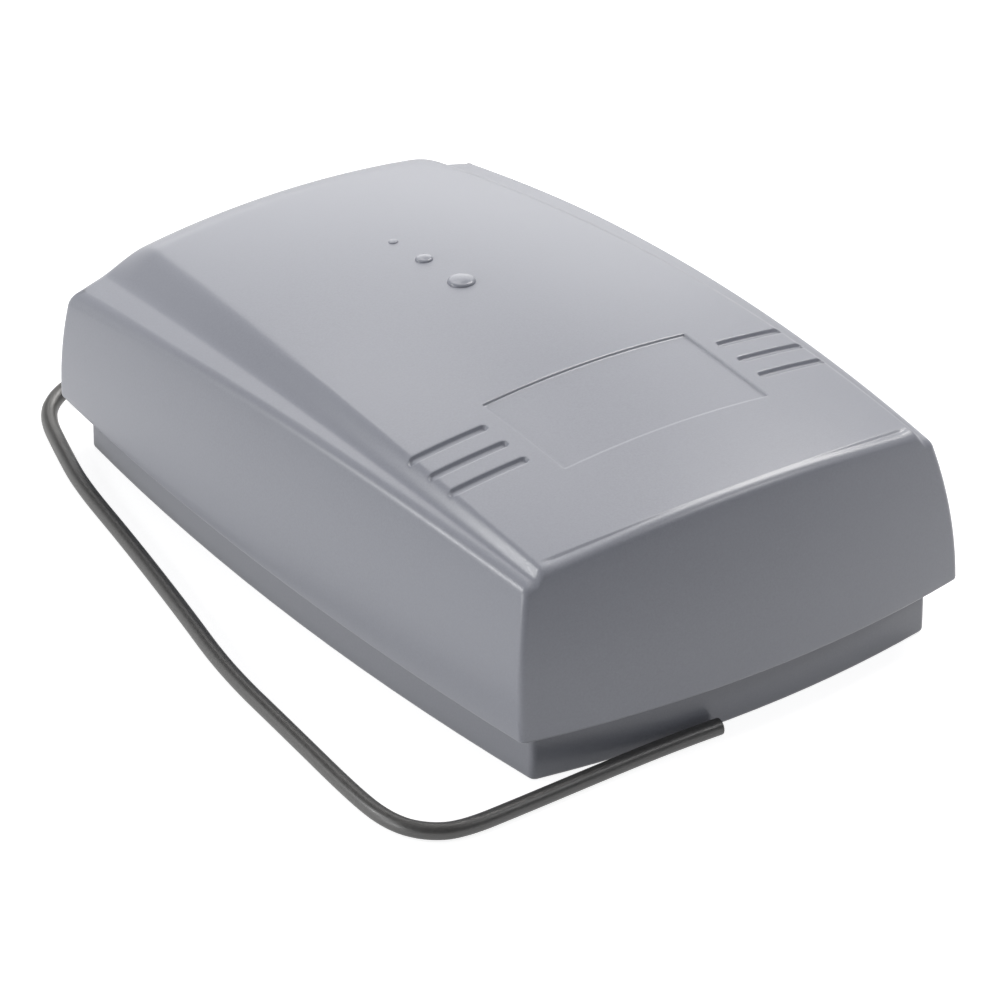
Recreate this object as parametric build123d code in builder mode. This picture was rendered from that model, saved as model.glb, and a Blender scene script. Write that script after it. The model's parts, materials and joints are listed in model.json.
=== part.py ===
from build123d import *
import os
from math import cos, pi, radians, sin, tan

os.makedirs("parts", exist_ok=True)

# Everything is in millimetres. The origin is the middle of the case's underside, +Z is up, the
# front short side faces -Y and the rear wall, where the wires leave, faces +Y.

# Tray and cover outlines: corner places, and how far each side bows out at its middle
tray_half_x = 29.8
tray_half_y = 49.0
tray_bow = 2.87
tray_wall = 1.8
tray_floor = 2.0
tray_edge_radius = 0.6
corner_radius = 1.0
rim_z = 7.54
rim_half_x = 32.94
rim_half_y = 51.3
rim_bow_side = 2.6
rim_bow_end = 3.5
cover_wall = 1.8
shell_gap = 0.3
flange_top_z = 9.4
cover_levels = (0, 8, 16, 24, 32)
rib_root_z = 14.0
rib_thickness = 1.5
rib_reach_side = 4.5
rib_reach_end = 3.0
rib_spacing = (34.0, 30.0)
cut_through = 10.0

# Top of the cover: a crowned panel that falls through an S-shaped shoulder to the outer edge
edge_front = (30.45, -47.9, 26.98)
edge_rear = (31.8, 50.7, 22.28)
edge_bow = 2.0
edge_crown = 2.9
panel_front = (28.08, -48.5)
panel_rear = (22.52, 48.3)
panel_bow = 1.95
panel_height = 33.53
panel_slope = 0.02668
crown_across = 0.00369
crown_along = 0.001412
rear_roll_y = 45.0
rear_roll = 0.045
shelf_slope = 0.22
shoulder_start = 0.55
shoulder_span = 0.65
panel_margin = 1.3
panel_steps = 5
shoulder_shares = (1.12, 0.97, 0.82, 0.67, 0.52, 0.3, 0.0)
top_reach_x = 40.0
top_reach_y = 60
row_spacing = 8
surface_tolerance = 0.03
top_depth = 45.0

# Recess, grooves and bosses on the panel
recess_half_x = 15.2
recess_y = (-35.05, -18.05)
recess_depth = 0.25
groove_inner_x = 17.4
groove_length = 10.8
groove_width = 1.3
groove_depth = 0.55
groove_places = (-22.1, -26.4, -30.6)
groove_fan = 5.0
groove_end_rounding = 0.49
above_panel_z = 36.0
boss_rise = 0.35
boss_sunk = 2.0
panel_bosses = ((23.15, 0.6), (16.27, 1.15), (8.06, 1.8))

# Circuit board and what carries it
board_half_x = 26.5
board_half_y = 40.5
board_bottom = 4.6
board_thickness = 1.6
board_top = board_bottom + board_thickness
post_x = 23.4
post_y = 37.4
post_radius = 3.0
screw_radius = 1.2
screw_head_radius = 2.6
screw_head_height = 1.7
screw_tip_z = 2.4
running_gap = 0.05
pin_tip_z = 3.2
board_corner = 1.5
pilot_extra = 0.6
screw_top_rounding = 0.6
screw_cross = (0.7, 3.0, 0.8)

# Wall fixing holes in the tray's floor
fixing_half_spacing = 45.3
fixing_hole_radius = 2.1

# Snap hooks and their catches
hook_y = 21.0
hook_width = 6.0
hook_thickness = 1.3
hook_clearance = 0.25
catch_length = 8.0
catch_depth = 0.7
catch_z = (6.2, 7.4)
hook_root_z = (11.0, 15.0)
barb_height = 1.9
barb_lead = 0.6
barb_tip = 0.3
hook_root_reach = 1.0

# Aerial: a limp insulated wire, its route from the rear wall to its cut end, lying on the floor
bend_share = 0.45
aerial_radius = 1.08
aerial_exit = (-18.0, 51.4, 4.3)
aerial_points = [
    aerial_exit,
    (-18.0, 55.4, 4.3),
    (-20.0, 59.0, 3.7),
    (-23.7, 60.8, 2.8),
    (-28.3, 60.1, 1.9),
    (-31.8, 56.9, 1.3),
    (-34.4, 49.0, 1.1),
    (-37.2, 40.0, 1.1),
    (-39.8, 25.0, 1.1),
    (-43.3, 7.2, 1.1),
    (-46.7, -8.2, 1.1),
    (-48.1, -24.1, 1.1),
    (-49.8, -41.9, 1.1),
    (-49.4, -48.2, 1.1),
    (-47.3, -51.9, 1.1),
    (-43.6, -54.0, 1.1),
    (-34.5, -53.8, 1.1),
    (-20.0, -53.25, 1.1),
    (-10.5, -53.1, 1.1),
    (-4.6, -53.35, 1.1),
]
aerial_lead_points = [
    (-17.6, 38.6, 9.65),
    (-17.6, 41.6, 9.65),
    (-17.8, 44.2, 7.0),
    (-18.0, 46.3, 4.3),
    aerial_exit,
]

# Rubber bushes in the rear wall
aerial_bush_radius = 2.2
aerial_bush_neck = 1.65
cable_bush_x = 12.0
cable_bush_half_x = 7.5
cable_bush_z = (2.6, 7.1)
cable_bush_rim = 0.4
cable_bush_wall = 0.7
cable_bush_corner = 1.2
cable_bush_inside = 1.4
cable_bush_length = 4.9
aerial_bush_inside = 1.0

# Terminal blocks: one clamp cell for each wire
pole_pitch = 5.0
power_poles = (-7.3, -2.3, 2.7, 7.7, 12.7, 17.7)
aerial_poles = (-17.6, -12.6)
terminal_front_y = 40.0
terminal_depth = 7.6
terminal_height = 10.0
cell_y = terminal_front_y - terminal_depth / 2
cage_size = 3.8
cage_height = 4.7
cage_bottom = board_top + 1.85
cage_wall = 0.6
cage_top_wall = 0.8
cage_window = 2.6
cage_seat = 2.7
cage_clearance = 0.1
thread_clear_top = 16.0
entry_width = 3.0
entry_length = 5.0
terminal_chamfer = 1.4
head_clearance = 0.15
slot_width = 0.6
slot_depth = 0.75
slot_turn = 35
tongue_size = (2.2, 4.6)
tongue_back = 0.4
pin_back = 2.95
pin_size = (0.9, 0.5)
pin_hole_radius = 0.6
thread_radius = 1.25
terminal_head_radius = 1.8
terminal_head_z = (14.0, 15.6)
tongue_z = (10.2, 10.7)
cell_z = (6.8, 12.9)
entry_z = (8.4, 11.6)
screw_bottom_z = 11.3
core_radius = 0.7
core_length = 4.0
core_z = 9.425

# Relays, radio module and the other parts on the board
relay_size = (15.3, 19.0, 15.0)
relay_places = ((-3.5, 19.5), (14.5, 19.5))
relay_standoff = 0.3
relay_corner = 0.8
relay_edge = 0.5
relay_foot = 1.2
relay_pin_radius = 0.4
round_pin_hole_radius = 0.5
relay_pin_places = ((0, -8), (-6, -5.6), (6, -5.6), (-6, 6.5), (6, 6.5))
module_x = -19.0
module_y = (1.0, 29.0)
module_thickness = 1.0
module_height = 13.0
header_height = 2.2
module_pin_pitch = 2.54
module_pin_count = 8
module_pin_size = 0.6
header_width = 2.4
button_places = (-18.0, -8.5)
button_y = -28.0
button_travel = 0.25
switch_size = 6.0
switch_height = 3.5
corner_cut = 0.4
lens_y = -36.0
lens_radius = 1.5
lens_height = 4.0
lens_rim = (1.9, 1.0)
button_edge = 0.3
dip_x = 2.5
dip_y = -29.0
dip_size = (5.6, 6.2, 3.2)
dip_pitch = 2.54
dip_travel = 1.2
dip_well = 1.2
dip_seat = 1.1
dip_end_gap = 0.1
dip_knob_chamfer = 0.15
trimmer_place = (13.0, -33.0)
trimmer_height = 3.2
trimmer_width = 6.5
fuse_x = 21.0
fuse_y = -24.0
fuse_radius = 2.6
fuse_half_length = 10.0
fuse_z = board_top + 4.0
fuse_cap_length = 5.0
fuse_glass_inset = 0.2
can_size = (3.2, 14.0, 9.0)
can_wall = 0.3
can_edge = 0.6
can_offset = -4.0
chips = (
    ("microcontroller", (4.0, 3.0), (12.7, 7.5, 2.3)),
    ("memory_chip", (-9.5, -9.0), (5.08, 3.9, 1.5)),
)
chip_standoff = 0.12
leg_pitch = 1.27
leg_width = 0.42
leg_outline = (
    (0, 0.85),
    (0.55, 0.85),
    (0.75, 0),
    (1.35, 0),
    (1.35, 0.2),
    (0.9, 0.2),
    (0.7, 1.05),
    (0, 1.05),
)
chip_edge = 0.25
chip_mark = (0.45, 0.1, 1.0)
crystal_place = (-9.5, 2.5)
crystal_base = (11.0, 4.6, 0.5)
crystal_can = (10.2, 3.8, 3.0)
capacitors = (("capacitor_large", (19.5, -1.5), 5.0, 14.0), ("capacitor_small", (13.5, -11.0), 3.15, 9.0))
capacitor_edge = 0.5
capacitor_groove = (2.2, 0.5, 0.2)
rectifier_place = (3.0, -12.0)
rectifier_size = (8.2, 6.4, 3.0)
rectifier_leg = (1.0, 1.6, 0.4)
rectifier_legs_apart = (5.1, 7.4)
regulator_place = (-7.0, -18.5)
regulator_size = (6.5, 6.0, 2.3)
regulator_tab = (5.2, 1.2, 0.5)
regulator_leg = (0.8, 2.0, 0.5)
regulator_legs_apart = 4.6
package_edge = 0.3
varistor_place = (13.5, -20.5)
varistor_radius = 4.0
varistor_thickness = 3.4
varistor_rounding = 1.2
varistor_standoff = 1.2
varistor_leg = (0.35, 3.0)
varistor_legs_apart = 5.0
clip_length = 4.0
clip_height = 6.4
clip_sheet = 0.4
clip_arm_sheet = 0.36
clip_arm_offset = 0.22
resistor_size = (3.2, 1.6, 0.55)
chip_capacitor_size = (2.0, 1.25, 0.9)
transistor_size = (2.9, 1.5, 1.1)
button_radius = 1.75
button_well = 1.7
button_top_z = 11.2
dip_knob = (1.0, 1.2, 1.9)
trimmer_radius = 2.3
trimmer_well = 1.4
rotor_height = 1.8
rotor_cross = ((0.7, 3.6), (1.6, 0.7))
rotor_cross_depth = 0.7
resistor_places = [(-15, y) for y in (-4, -7, -10, -13, -16)] + [(-3.5, y) for y in (-7, -10, -13)]
resistor_places += [(x, -37) for x in (0, 4, 8)]
chip_capacitor_places = [(12.5, 4.5), (12.5, 1.5), (-13.5, 10), (-13.5, 13), (-13.5, 16)]
chip_capacitor_places += [(16.5, -27), (4, -18)]
transistor_places = [(-4.5, 8.3), (9, -25), (9, -28)]


def mix(first, last, share):
    """A value the given share of the way from first to last."""
    return first + (last - first) * share


def lean(height, first, second):
    """How far a wall has leaned inwards at a height above the rim."""
    return first * height + second * height**2


def shoulder_lines(y):
    """Places of the cover's outer edge and of the panel's edge, across one half."""
    along = (y - edge_front[1]) / (edge_rear[1] - edge_front[1])
    edge_x = mix(edge_front[0], edge_rear[0], along) + edge_bow * (1 - (2 * along - 1) ** 2)
    share = (y - panel_front[1]) / (panel_rear[1] - panel_front[1])
    panel_x = mix(panel_front[0], panel_rear[0], share) + panel_bow * (1 - (2 * share - 1) ** 2)
    return edge_x, panel_x


def top_height(x, y):
    """Height of the cover's top: the panel and the shelf, blended across the shoulder."""
    edge_x, panel_x = shoulder_lines(y)
    along = (y - edge_front[1]) / (edge_rear[1] - edge_front[1])
    edge_z = mix(edge_front[2], edge_rear[2], along) + edge_crown * (1 - (2 * along - 1) ** 2)
    roll = rear_roll * max(0.0, y - rear_roll_y) ** 2
    panel_z = panel_height - panel_slope * y - crown_across * x**2 - crown_along * y**2 - roll
    shelf_z = edge_z + shelf_slope * (edge_x - abs(x))
    inward = (edge_x - abs(x)) / (edge_x - panel_x)
    blend = min(1.0, max(0.0, (inward - shoulder_start) / shoulder_span))
    return mix(shelf_z, panel_z, blend**2 * (3 - 2 * blend))


def top_row(y, lowered):
    """Points across the top at one place along the case, closer together on the shoulders."""
    edge_x, panel_x = shoulder_lines(y)
    width = edge_x - panel_x
    half = [(edge_x - panel_margin * width) * share / panel_steps for share in range(1, panel_steps + 1)]
    half += [edge_x - share * width for share in shoulder_shares]
    half += [mix(edge_x, top_reach_x, 0.35), top_reach_x]
    places = [-x for x in reversed(half)] + [0.0] + half
    return [Vector(x, y, top_height(x, y) - lowered) for x in places]


def bowed_face(z, half_x, ends_y, bows, rounding):
    """Face at one height with four bowed sides; bows are the sides', the front's and the rear's."""
    front_y, rear_y = ends_y
    side, front, rear = bows
    middle = (front_y + rear_y) / 2
    with BuildSketch(Plane.XY.offset(z)) as outline:
        with BuildLine():
            ThreePointArc((-half_x, front_y), (0, front_y - front), (half_x, front_y))
            ThreePointArc((half_x, front_y), (half_x + side, middle), (half_x, rear_y))
            ThreePointArc((half_x, rear_y), (0, rear_y + rear), (-half_x, rear_y))
            ThreePointArc((-half_x, rear_y), (-half_x - side, middle), (-half_x, front_y))
        make_face()
        fillet(outline.vertices(), rounding)
    return outline.sketch.face()


def tray_face(z, outwards):
    """The tray's outline, moved outwards or, where negative, inwards."""
    half_y = tray_half_y + outwards
    return bowed_face(z, tray_half_x + outwards, (-half_y, half_y), (tray_bow,) * 3, corner_radius)


def cover_face(height, inset):
    """The cover's outline at a height above its rim, moved inwards by the inset."""
    half_x = rim_half_x - lean(height, -0.017, 0.0075) - inset
    front_y = -rim_half_y + lean(height, 0.053, 0.0048) + inset
    rear_y = rim_half_y - lean(height, -0.03, 0.0048) - inset
    bows = (rim_bow_side - 0.02 * height, rim_bow_end - 0.013 * height, rim_bow_end - 0.06 * height)
    return bowed_face(rim_z + height, half_x, (front_y, rear_y), bows, corner_radius)


def cover_walls(inset):
    """Solid inside the cover's side walls, from the rim to above the top."""
    with BuildPart() as walls:
        loft([cover_face(height, inset) for height in cover_levels])
    return walls.part


def under_top(lowered):
    """Solid under the cover's top, lowered by a distance."""
    rows = [top_row(y, lowered) for y in range(-top_reach_y, top_reach_y + 1, row_spacing)]
    top = Face.make_surface_from_array_of_points(rows, tol=surface_tolerance)
    with BuildPart() as under:
        extrude(top, amount=top_depth, dir=(0, 0, -1))
    return under.part


def tube_radii(points):
    """Each corner's bend: a share of the shorter run over the tangent of half the turn."""
    radii = []
    for before, here, after in zip(points, points[1:], points[2:]):
        arriving = Vector(*here) - Vector(*before)
        leaving = Vector(*after) - Vector(*here)
        shorter = min(arriving.length, leaving.length)
        radii.append(bend_share * shorter / tan(radians(arriving.get_angle(leaving)) / 2))
    return radii


def wire(points, radius):
    """Round wire along straight runs joined by tangent arcs, and the length of its path."""
    with BuildPart() as tube:
        with BuildLine() as route:
            FilletPolyline(*points, radius=tube_radii(points))
        with BuildSketch(Plane(origin=points[0], z_dir=route.wire() % 0)):
            Circle(radius)
        sweep()
    return tube.part, route.wire().length


def save(part, name):
    """Label a finished piece and write its file."""
    part.label = name
    export_step(part, f"parts/{name}.step")


# Solids that several pieces share: the cover's cavity and the terminal pins
with BuildPart() as cavity:
    add(cover_walls(cover_wall))
    add(under_top(cover_wall), mode=Mode.INTERSECT)
    with Locations((0, 0, rim_z - cut_through / 2)):
        Box(2 * rim_half_x, 2 * rim_half_y, cut_through, mode=Mode.SUBTRACT)

with BuildPart() as terminal_pins:
    for pole in power_poles + aerial_poles:
        with Locations((pole, cell_y - tongue_back, sum(tongue_z) / 2)):
            Box(*tongue_size, tongue_z[1] - tongue_z[0])
        with Locations((pole, cell_y - pin_back, (pin_tip_z + tongue_z[1]) / 2)):
            Box(*pin_size, tongue_z[1] - pin_tip_z)
save(terminal_pins.part, "terminal_pins")

# Tray: bowed walls round a floor, with a closing flange, board posts, catches and fixing holes
with BuildPart() as base_tray:
    add(extrude(tray_face(0, 0), amount=rim_z + shell_gap, dir=(0, 0, 1), mode=Mode.PRIVATE))
    fillet(base_tray.faces().sort_by(Axis.Z)[0].edges(), tray_edge_radius)
    flange_x = rim_half_x - cover_wall - shell_gap
    flange_y = rim_half_y - cover_wall - shell_gap
    flange_bows = (rim_bow_side, rim_bow_end, rim_bow_end)
    flange_face = bowed_face(rim_z + shell_gap, flange_x, (-flange_y, flange_y), flange_bows, corner_radius)
    add(extrude(flange_face, amount=flange_top_z - rim_z - shell_gap, dir=(0, 0, 1), mode=Mode.PRIVATE))
    add(
        extrude(tray_face(tray_floor, -tray_wall), amount=flange_top_z, dir=(0, 0, 1), mode=Mode.PRIVATE),
        mode=Mode.SUBTRACT,
    )
    with BuildSketch(Plane.XY.offset(tray_floor)):
        with GridLocations(2 * post_x, 2 * post_y, 2, 2):
            Circle(post_radius)
    extrude(amount=board_bottom - tray_floor)
    with Locations(Plane.XY.offset(board_bottom)):
        with GridLocations(2 * post_x, 2 * post_y, 2, 2):
            Hole(screw_radius + running_gap, depth=board_bottom - screw_tip_z + pilot_extra)
    with Locations(Plane.XY.offset(tray_floor)):
        with GridLocations(1, 2 * fixing_half_spacing, 1, 2):
            Hole(fixing_hole_radius, depth=tray_floor)
    catch_x = tray_half_x + tray_bow * (1 - (hook_y / tray_half_y) ** 2) - tray_wall
    catch_middle = (catch_z[0] + catch_z[1]) / 2
    with GridLocations(2 * catch_x, 2 * hook_y, 2, 2):
        with Locations((0, 0, catch_middle)):
            Box(2 * catch_depth, catch_length, catch_z[1] - catch_z[0])
    with Locations((aerial_exit[0], tray_half_y, aerial_exit[2])):
        Cylinder(aerial_bush_neck, cut_through, rotation=(90, 0, 0), mode=Mode.SUBTRACT)
    with Locations((cable_bush_x, tray_half_y, sum(cable_bush_z) / 2)):
        Box(2 * cable_bush_half_x, cut_through, cable_bush_z[1] - cable_bush_z[0], mode=Mode.SUBTRACT)
save(base_tray.part, "base_tray")

# Cover: walls under the crowned top, hollowed, with rest ribs that stand on the tray's flange
with BuildPart() as rest_ribs:
    rib_middle = (flange_top_z + rib_root_z) / 2 + running_gap
    with GridLocations(2 * rim_half_x, rib_spacing[1], 2, 3):
        with Locations((0, 0, rib_middle)):
            Box(2 * rib_reach_side, rib_thickness, rib_root_z - flange_top_z)
    with GridLocations(rib_spacing[0], 2 * rim_half_y, 2, 2):
        with Locations((0, 0, rib_middle)):
            Box(rib_thickness, 2 * rib_reach_end, rib_root_z - flange_top_z)
    add(cavity.part, mode=Mode.INTERSECT)

with BuildPart() as recess_tool:
    with Locations((0, sum(recess_y) / 2, above_panel_z - cut_through / 2)):
        Box(2 * recess_half_x, recess_y[1] - recess_y[0], cut_through)
    add(under_top(recess_depth), mode=Mode.SUBTRACT)

with BuildPart() as groove_tools:
    for side in (-1, 1):
        middle_x = side * (groove_inner_x + groove_length / 2 * cos(radians(groove_fan)))
        middle_rise = groove_length / 2 * sin(radians(groove_fan))
        for groove_y in groove_places:
            slot_middle = (middle_x, groove_y + middle_rise, above_panel_z - cut_through / 2)
            with Locations(Location(slot_middle, (0, 0, side * groove_fan))):
                Box(groove_length, groove_width, cut_through)
    fillet(groove_tools.edges().filter_by(Axis.Z), groove_end_rounding * groove_width)
    add(under_top(groove_depth), mode=Mode.SUBTRACT)

with BuildPart() as top_cover:
    add(cover_walls(0))
    add(under_top(0), mode=Mode.INTERSECT)
    for boss_y, boss_radius in panel_bosses:
        boss_top = top_height(0, boss_y) + boss_rise
        with Locations((0, boss_y, boss_top - boss_sunk / 2)):
            Cylinder(boss_radius, boss_sunk)
    add(cavity.part, mode=Mode.SUBTRACT)
    add(rest_ribs.part)
    add(recess_tool.part, mode=Mode.SUBTRACT)
    add(groove_tools.part, mode=Mode.SUBTRACT)
save(top_cover.part, "top_cover")

# Snap hooks: arms that hang from the cover's walls, with barbs under the tray's catches
arm_x = catch_x - catch_depth - hook_clearance
barb_z = catch_z[0] - hook_clearance
with BuildPart() as cover_snap_hooks:
    for place in (-hook_y, hook_y):
        with BuildSketch(Plane.XZ.offset(-place)):
            with BuildLine():
                Polyline(
                    (arm_x - hook_thickness, barb_z - barb_height),
                    (arm_x - barb_tip, barb_z - barb_height),
                    (arm_x + catch_depth - running_gap, barb_z - barb_lead),
                    (arm_x + catch_depth - running_gap, barb_z),
                    (arm_x, barb_z),
                    (arm_x, hook_root_z[0]),
                    (rim_half_x + hook_root_reach, hook_root_z[0]),
                    (rim_half_x + hook_root_reach, hook_root_z[1]),
                    (arm_x - hook_thickness, hook_root_z[1]),
                    close=True,
                )
            make_face()
        extrude(amount=hook_width / 2, both=True)
    mirror(about=Plane.YZ)
    add(top_cover.part, mode=Mode.SUBTRACT)
save(cover_snap_hooks.part, "cover_snap_hooks")

# Rubber bushes: turned or moulded to the wall they sit in, a rim each side of it
with BuildPart() as aerial_grommet:
    bush_y = tray_half_y - aerial_bush_inside
    with Locations((aerial_exit[0], (bush_y + aerial_exit[1]) / 2, aerial_exit[2])):
        Cylinder(aerial_bush_radius, aerial_exit[1] - bush_y, rotation=(90, 0, 0))
        Cylinder(aerial_radius, cut_through, rotation=(90, 0, 0), mode=Mode.SUBTRACT)
    add(base_tray.part, mode=Mode.SUBTRACT)
save(aerial_grommet.part, "aerial_grommet")

with BuildPart() as cable_grommet:
    bush_height = cable_bush_z[1] - cable_bush_z[0]
    clear_length = 2 * (cable_bush_half_x - cable_bush_wall)
    rim_length = 2 * (cable_bush_half_x + cable_bush_rim)
    with BuildSketch(Plane.XZ.offset(-(tray_half_y - cable_bush_inside))):
        with Locations((cable_bush_x, sum(cable_bush_z) / 2)):
            RectangleRounded(rim_length, bush_height + 2 * cable_bush_rim, cable_bush_corner)
            SlotOverall(clear_length, bush_height - 2 * cable_bush_wall, mode=Mode.SUBTRACT)
    extrude(amount=-cable_bush_length)
    add(base_tray.part, mode=Mode.SUBTRACT)
save(cable_grommet.part, "cable_grommet")

# Aerial: the free wire outside the case, its stretch inside, and the bare core in the clamp
aerial_wire, aerial_length = wire(aerial_points, aerial_radius)
save(aerial_wire, "aerial_wire")
aerial_lead, lead_length = wire(aerial_lead_points, aerial_radius)
save(aerial_lead, "aerial_lead")
print("aerial bend radii:", [round(radius, 1) for radius in tube_radii(aerial_points)])
print("aerial length:", round(aerial_length, 1), "inner stretch:", round(lead_length, 1))
ideal_volume = pi * aerial_radius**2 * aerial_length
print("aerial volume over section times length:", round(aerial_wire.volume / ideal_volume, 4))

with BuildPart() as aerial_core:
    with Locations((aerial_poles[0], aerial_lead_points[0][1] - core_length / 2, core_z)):
        Cylinder(core_radius, core_length, rotation=(90, 0, 0))
save(aerial_core.part, "aerial_core")

# Terminal blocks: a cell for each clamp cage, a wire entry, a screw well and a slot for the pin
def terminal_block(poles):
    """Moulded block over a row of clamp cells."""
    width = poles[-1] - poles[0] + pole_pitch
    with BuildPart() as block:
        with Locations(((poles[0] + poles[-1]) / 2, cell_y, board_top + terminal_height / 2)):
            Box(width, terminal_depth, terminal_height)
        chamfer(block.faces().sort_by(Axis.Y)[-1].edges().sort_by(Axis.Z)[-1], terminal_chamfer)
        for pole in poles:
            with Locations((pole, cell_y, (cell_z[0] + cell_z[1]) / 2)):
                cell_width = cage_size + 2 * cage_clearance
                Box(cell_width, cell_width, cell_z[1] - cell_z[0], mode=Mode.SUBTRACT)
            with Locations((pole, terminal_front_y, sum(entry_z) / 2)):
                Box(entry_width, entry_length, entry_z[1] - entry_z[0], mode=Mode.SUBTRACT)
            with Locations((pole, cell_y, (cell_z[0] + thread_clear_top) / 2)):
                Cylinder(thread_radius + running_gap, thread_clear_top - cell_z[0], mode=Mode.SUBTRACT)
            with Locations((pole, cell_y, terminal_head_z[0] + cut_through / 2 - running_gap)):
                Cylinder(terminal_head_radius + head_clearance, cut_through, mode=Mode.SUBTRACT)
        add(terminal_pins.part, mode=Mode.SUBTRACT)
    return block.part


save(terminal_block(power_poles), "power_terminal_block")
save(terminal_block(aerial_poles), "aerial_terminal_block")

# Each pole's screw turns in the block and lifts the cage that it is threaded through
for number, pole in enumerate(power_poles + aerial_poles, start=1):
    with BuildPart() as terminal_screw:
        with Locations((pole, cell_y, (screw_bottom_z + terminal_head_z[0]) / 2)):
            Cylinder(thread_radius, terminal_head_z[0] - screw_bottom_z)
        with Locations((pole, cell_y, sum(terminal_head_z) / 2)):
            Cylinder(terminal_head_radius, terminal_head_z[1] - terminal_head_z[0])
        with Locations((pole, cell_y, terminal_head_z[1])):
            slot_size = (slot_width, 2 * terminal_head_radius, 2 * slot_depth)
            Box(*slot_size, rotation=(0, 0, slot_turn * number), mode=Mode.SUBTRACT)
    save(terminal_screw.part, f"terminal_screw_{number}")
    with BuildPart() as clamp_cage:
        with Locations((pole, cell_y, cage_bottom + cage_height / 2)):
            Box(cage_size, cage_size, cage_height)
            Cylinder(thread_radius + running_gap, cage_height, mode=Mode.SUBTRACT)
        window_z = (cage_bottom + cage_wall, cage_bottom + cage_height - cage_top_wall)
        with Locations((pole, cell_y, sum(window_z) / 2)):
            Box(cage_window, cage_size, window_z[1] - window_z[0], mode=Mode.SUBTRACT)
        with Locations((pole, cell_y, cage_bottom + cage_wall / 2)):
            Box(cage_seat, cage_seat, cage_wall)
    save(clamp_cage.part, f"clamp_cage_{number}")

# Relays on short feet, with their pins through the board
for number, (relay_x, relay_y) in enumerate(relay_places, start=1):
    with BuildPart() as relay:
        with Locations((relay_x, relay_y, board_top + relay_standoff + relay_size[2] / 2)):
            Box(*relay_size)
        fillet(relay.edges().filter_by(Axis.Z), relay_corner)
        fillet(relay.faces().sort_by(Axis.Z)[-1].edges(), relay_edge)
        with Locations((relay_x, relay_y, board_top + relay_standoff / 2)):
            with GridLocations(relay_size[0] - 2 * relay_foot, relay_size[1] - 2 * relay_foot, 2, 2):
                Box(relay_foot, relay_foot, relay_standoff)
    save(relay.part, f"relay_{number}")

with BuildPart() as relay_pins:
    for relay_x, relay_y in relay_places:
        for pin_x, pin_y in relay_pin_places:
            pin_top_z = board_top + relay_standoff
            with Locations((relay_x + pin_x, relay_y + pin_y, (pin_tip_z + pin_top_z) / 2)):
                Cylinder(relay_pin_radius, pin_top_z - pin_tip_z)
save(relay_pins.part, "relay_pins")

# Radio module: a small board that stands on a pin header, with a metal can over its tuned circuit
module_middle = sum(module_y) / 2
module_bottom = board_top + header_height
with BuildPart() as module_pins:
    with Locations((module_x, module_middle, (pin_tip_z + module_bottom) / 2)):
        with GridLocations(1, module_pin_pitch, 1, module_pin_count):
            Box(module_pin_size, module_pin_size, module_bottom - pin_tip_z)
save(module_pins.part, "module_pins")

with BuildPart() as module_header:
    with Locations((module_x, module_middle, board_top + header_height / 2)):
        Box(header_width, module_pin_pitch * module_pin_count, header_height)
    chamfer(module_header.edges().filter_by(Axis.Z), corner_cut)
    add(module_pins.part, mode=Mode.SUBTRACT)
save(module_header.part, "module_header")

with BuildPart() as radio_module_board:
    with Locations((module_x, module_middle, module_bottom + module_height / 2)):
        Box(module_thickness, module_y[1] - module_y[0], module_height)
save(radio_module_board.part, "radio_module_board")

with BuildPart() as radio_module_can:
    can_x = module_x + module_thickness / 2 + can_size[0] / 2
    can_z = module_bottom + module_height / 2
    can_y = module_middle + can_offset
    with Locations((can_x, can_y, can_z)):
        Box(*can_size)
    fillet(radio_module_can.faces().sort_by(Axis.X)[-1].edges(), can_edge)
    with Locations((can_x - can_wall, can_y, can_z)):
        Box(can_size[0], can_size[1] - 2 * can_wall, can_size[2] - 2 * can_wall, mode=Mode.SUBTRACT)
save(radio_module_can.part, "radio_module_can")

# Chips: moulded bodies, with all their gull-wing legs in one node
for name, (chip_x, chip_y), (length, width, height) in chips:
    with BuildPart() as chip:
        with Locations((chip_x, chip_y, board_top + chip_standoff + height / 2)):
            Box(length, width, height)
        chamfer(chip.faces().sort_by(Axis.Z)[-1].edges(), chip_edge)
        mark_radius, mark_depth, mark_in = chip_mark
        mark_y = chip_y - width / 2 + mark_in
        with Locations((chip_x - length / 2 + mark_in, mark_y, board_top + chip_standoff + height)):
            Cylinder(mark_radius, 2 * mark_depth, mode=Mode.SUBTRACT)
    save(chip.part, name)

with BuildPart() as chip_legs:
    for name, (chip_x, chip_y), (length, width, height) in chips:
        for side in (-1, 1):
            for number in range(round(length / leg_pitch)):
                leg_x = chip_x + (number - (round(length / leg_pitch) - 1) / 2) * leg_pitch
                root = (leg_x, chip_y + side * width / 2, board_top)
                with BuildSketch(Plane(origin=root, x_dir=(0, side, 0), z_dir=(side, 0, 0))):
                    with BuildLine():
                        Polyline(*leg_outline, close=True)
                    make_face()
        extrude(amount=leg_width / 2, both=True)
save(chip_legs.part, "chip_legs")

with BuildPart() as crystal:
    with BuildSketch(Plane.XY.offset(board_top)):
        with Locations(crystal_place):
            SlotOverall(crystal_base[0], crystal_base[1], rotation=90)
    extrude(amount=crystal_base[2])
    with BuildSketch(Plane.XY.offset(board_top + crystal_base[2])):
        with Locations(crystal_place):
            SlotOverall(crystal_can[0], crystal_can[1], rotation=90)
    extrude(amount=crystal_can[2])
    fillet(crystal.faces().sort_by(Axis.Z)[-1].edges(), chip_edge)
save(crystal.part, "crystal")

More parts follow.
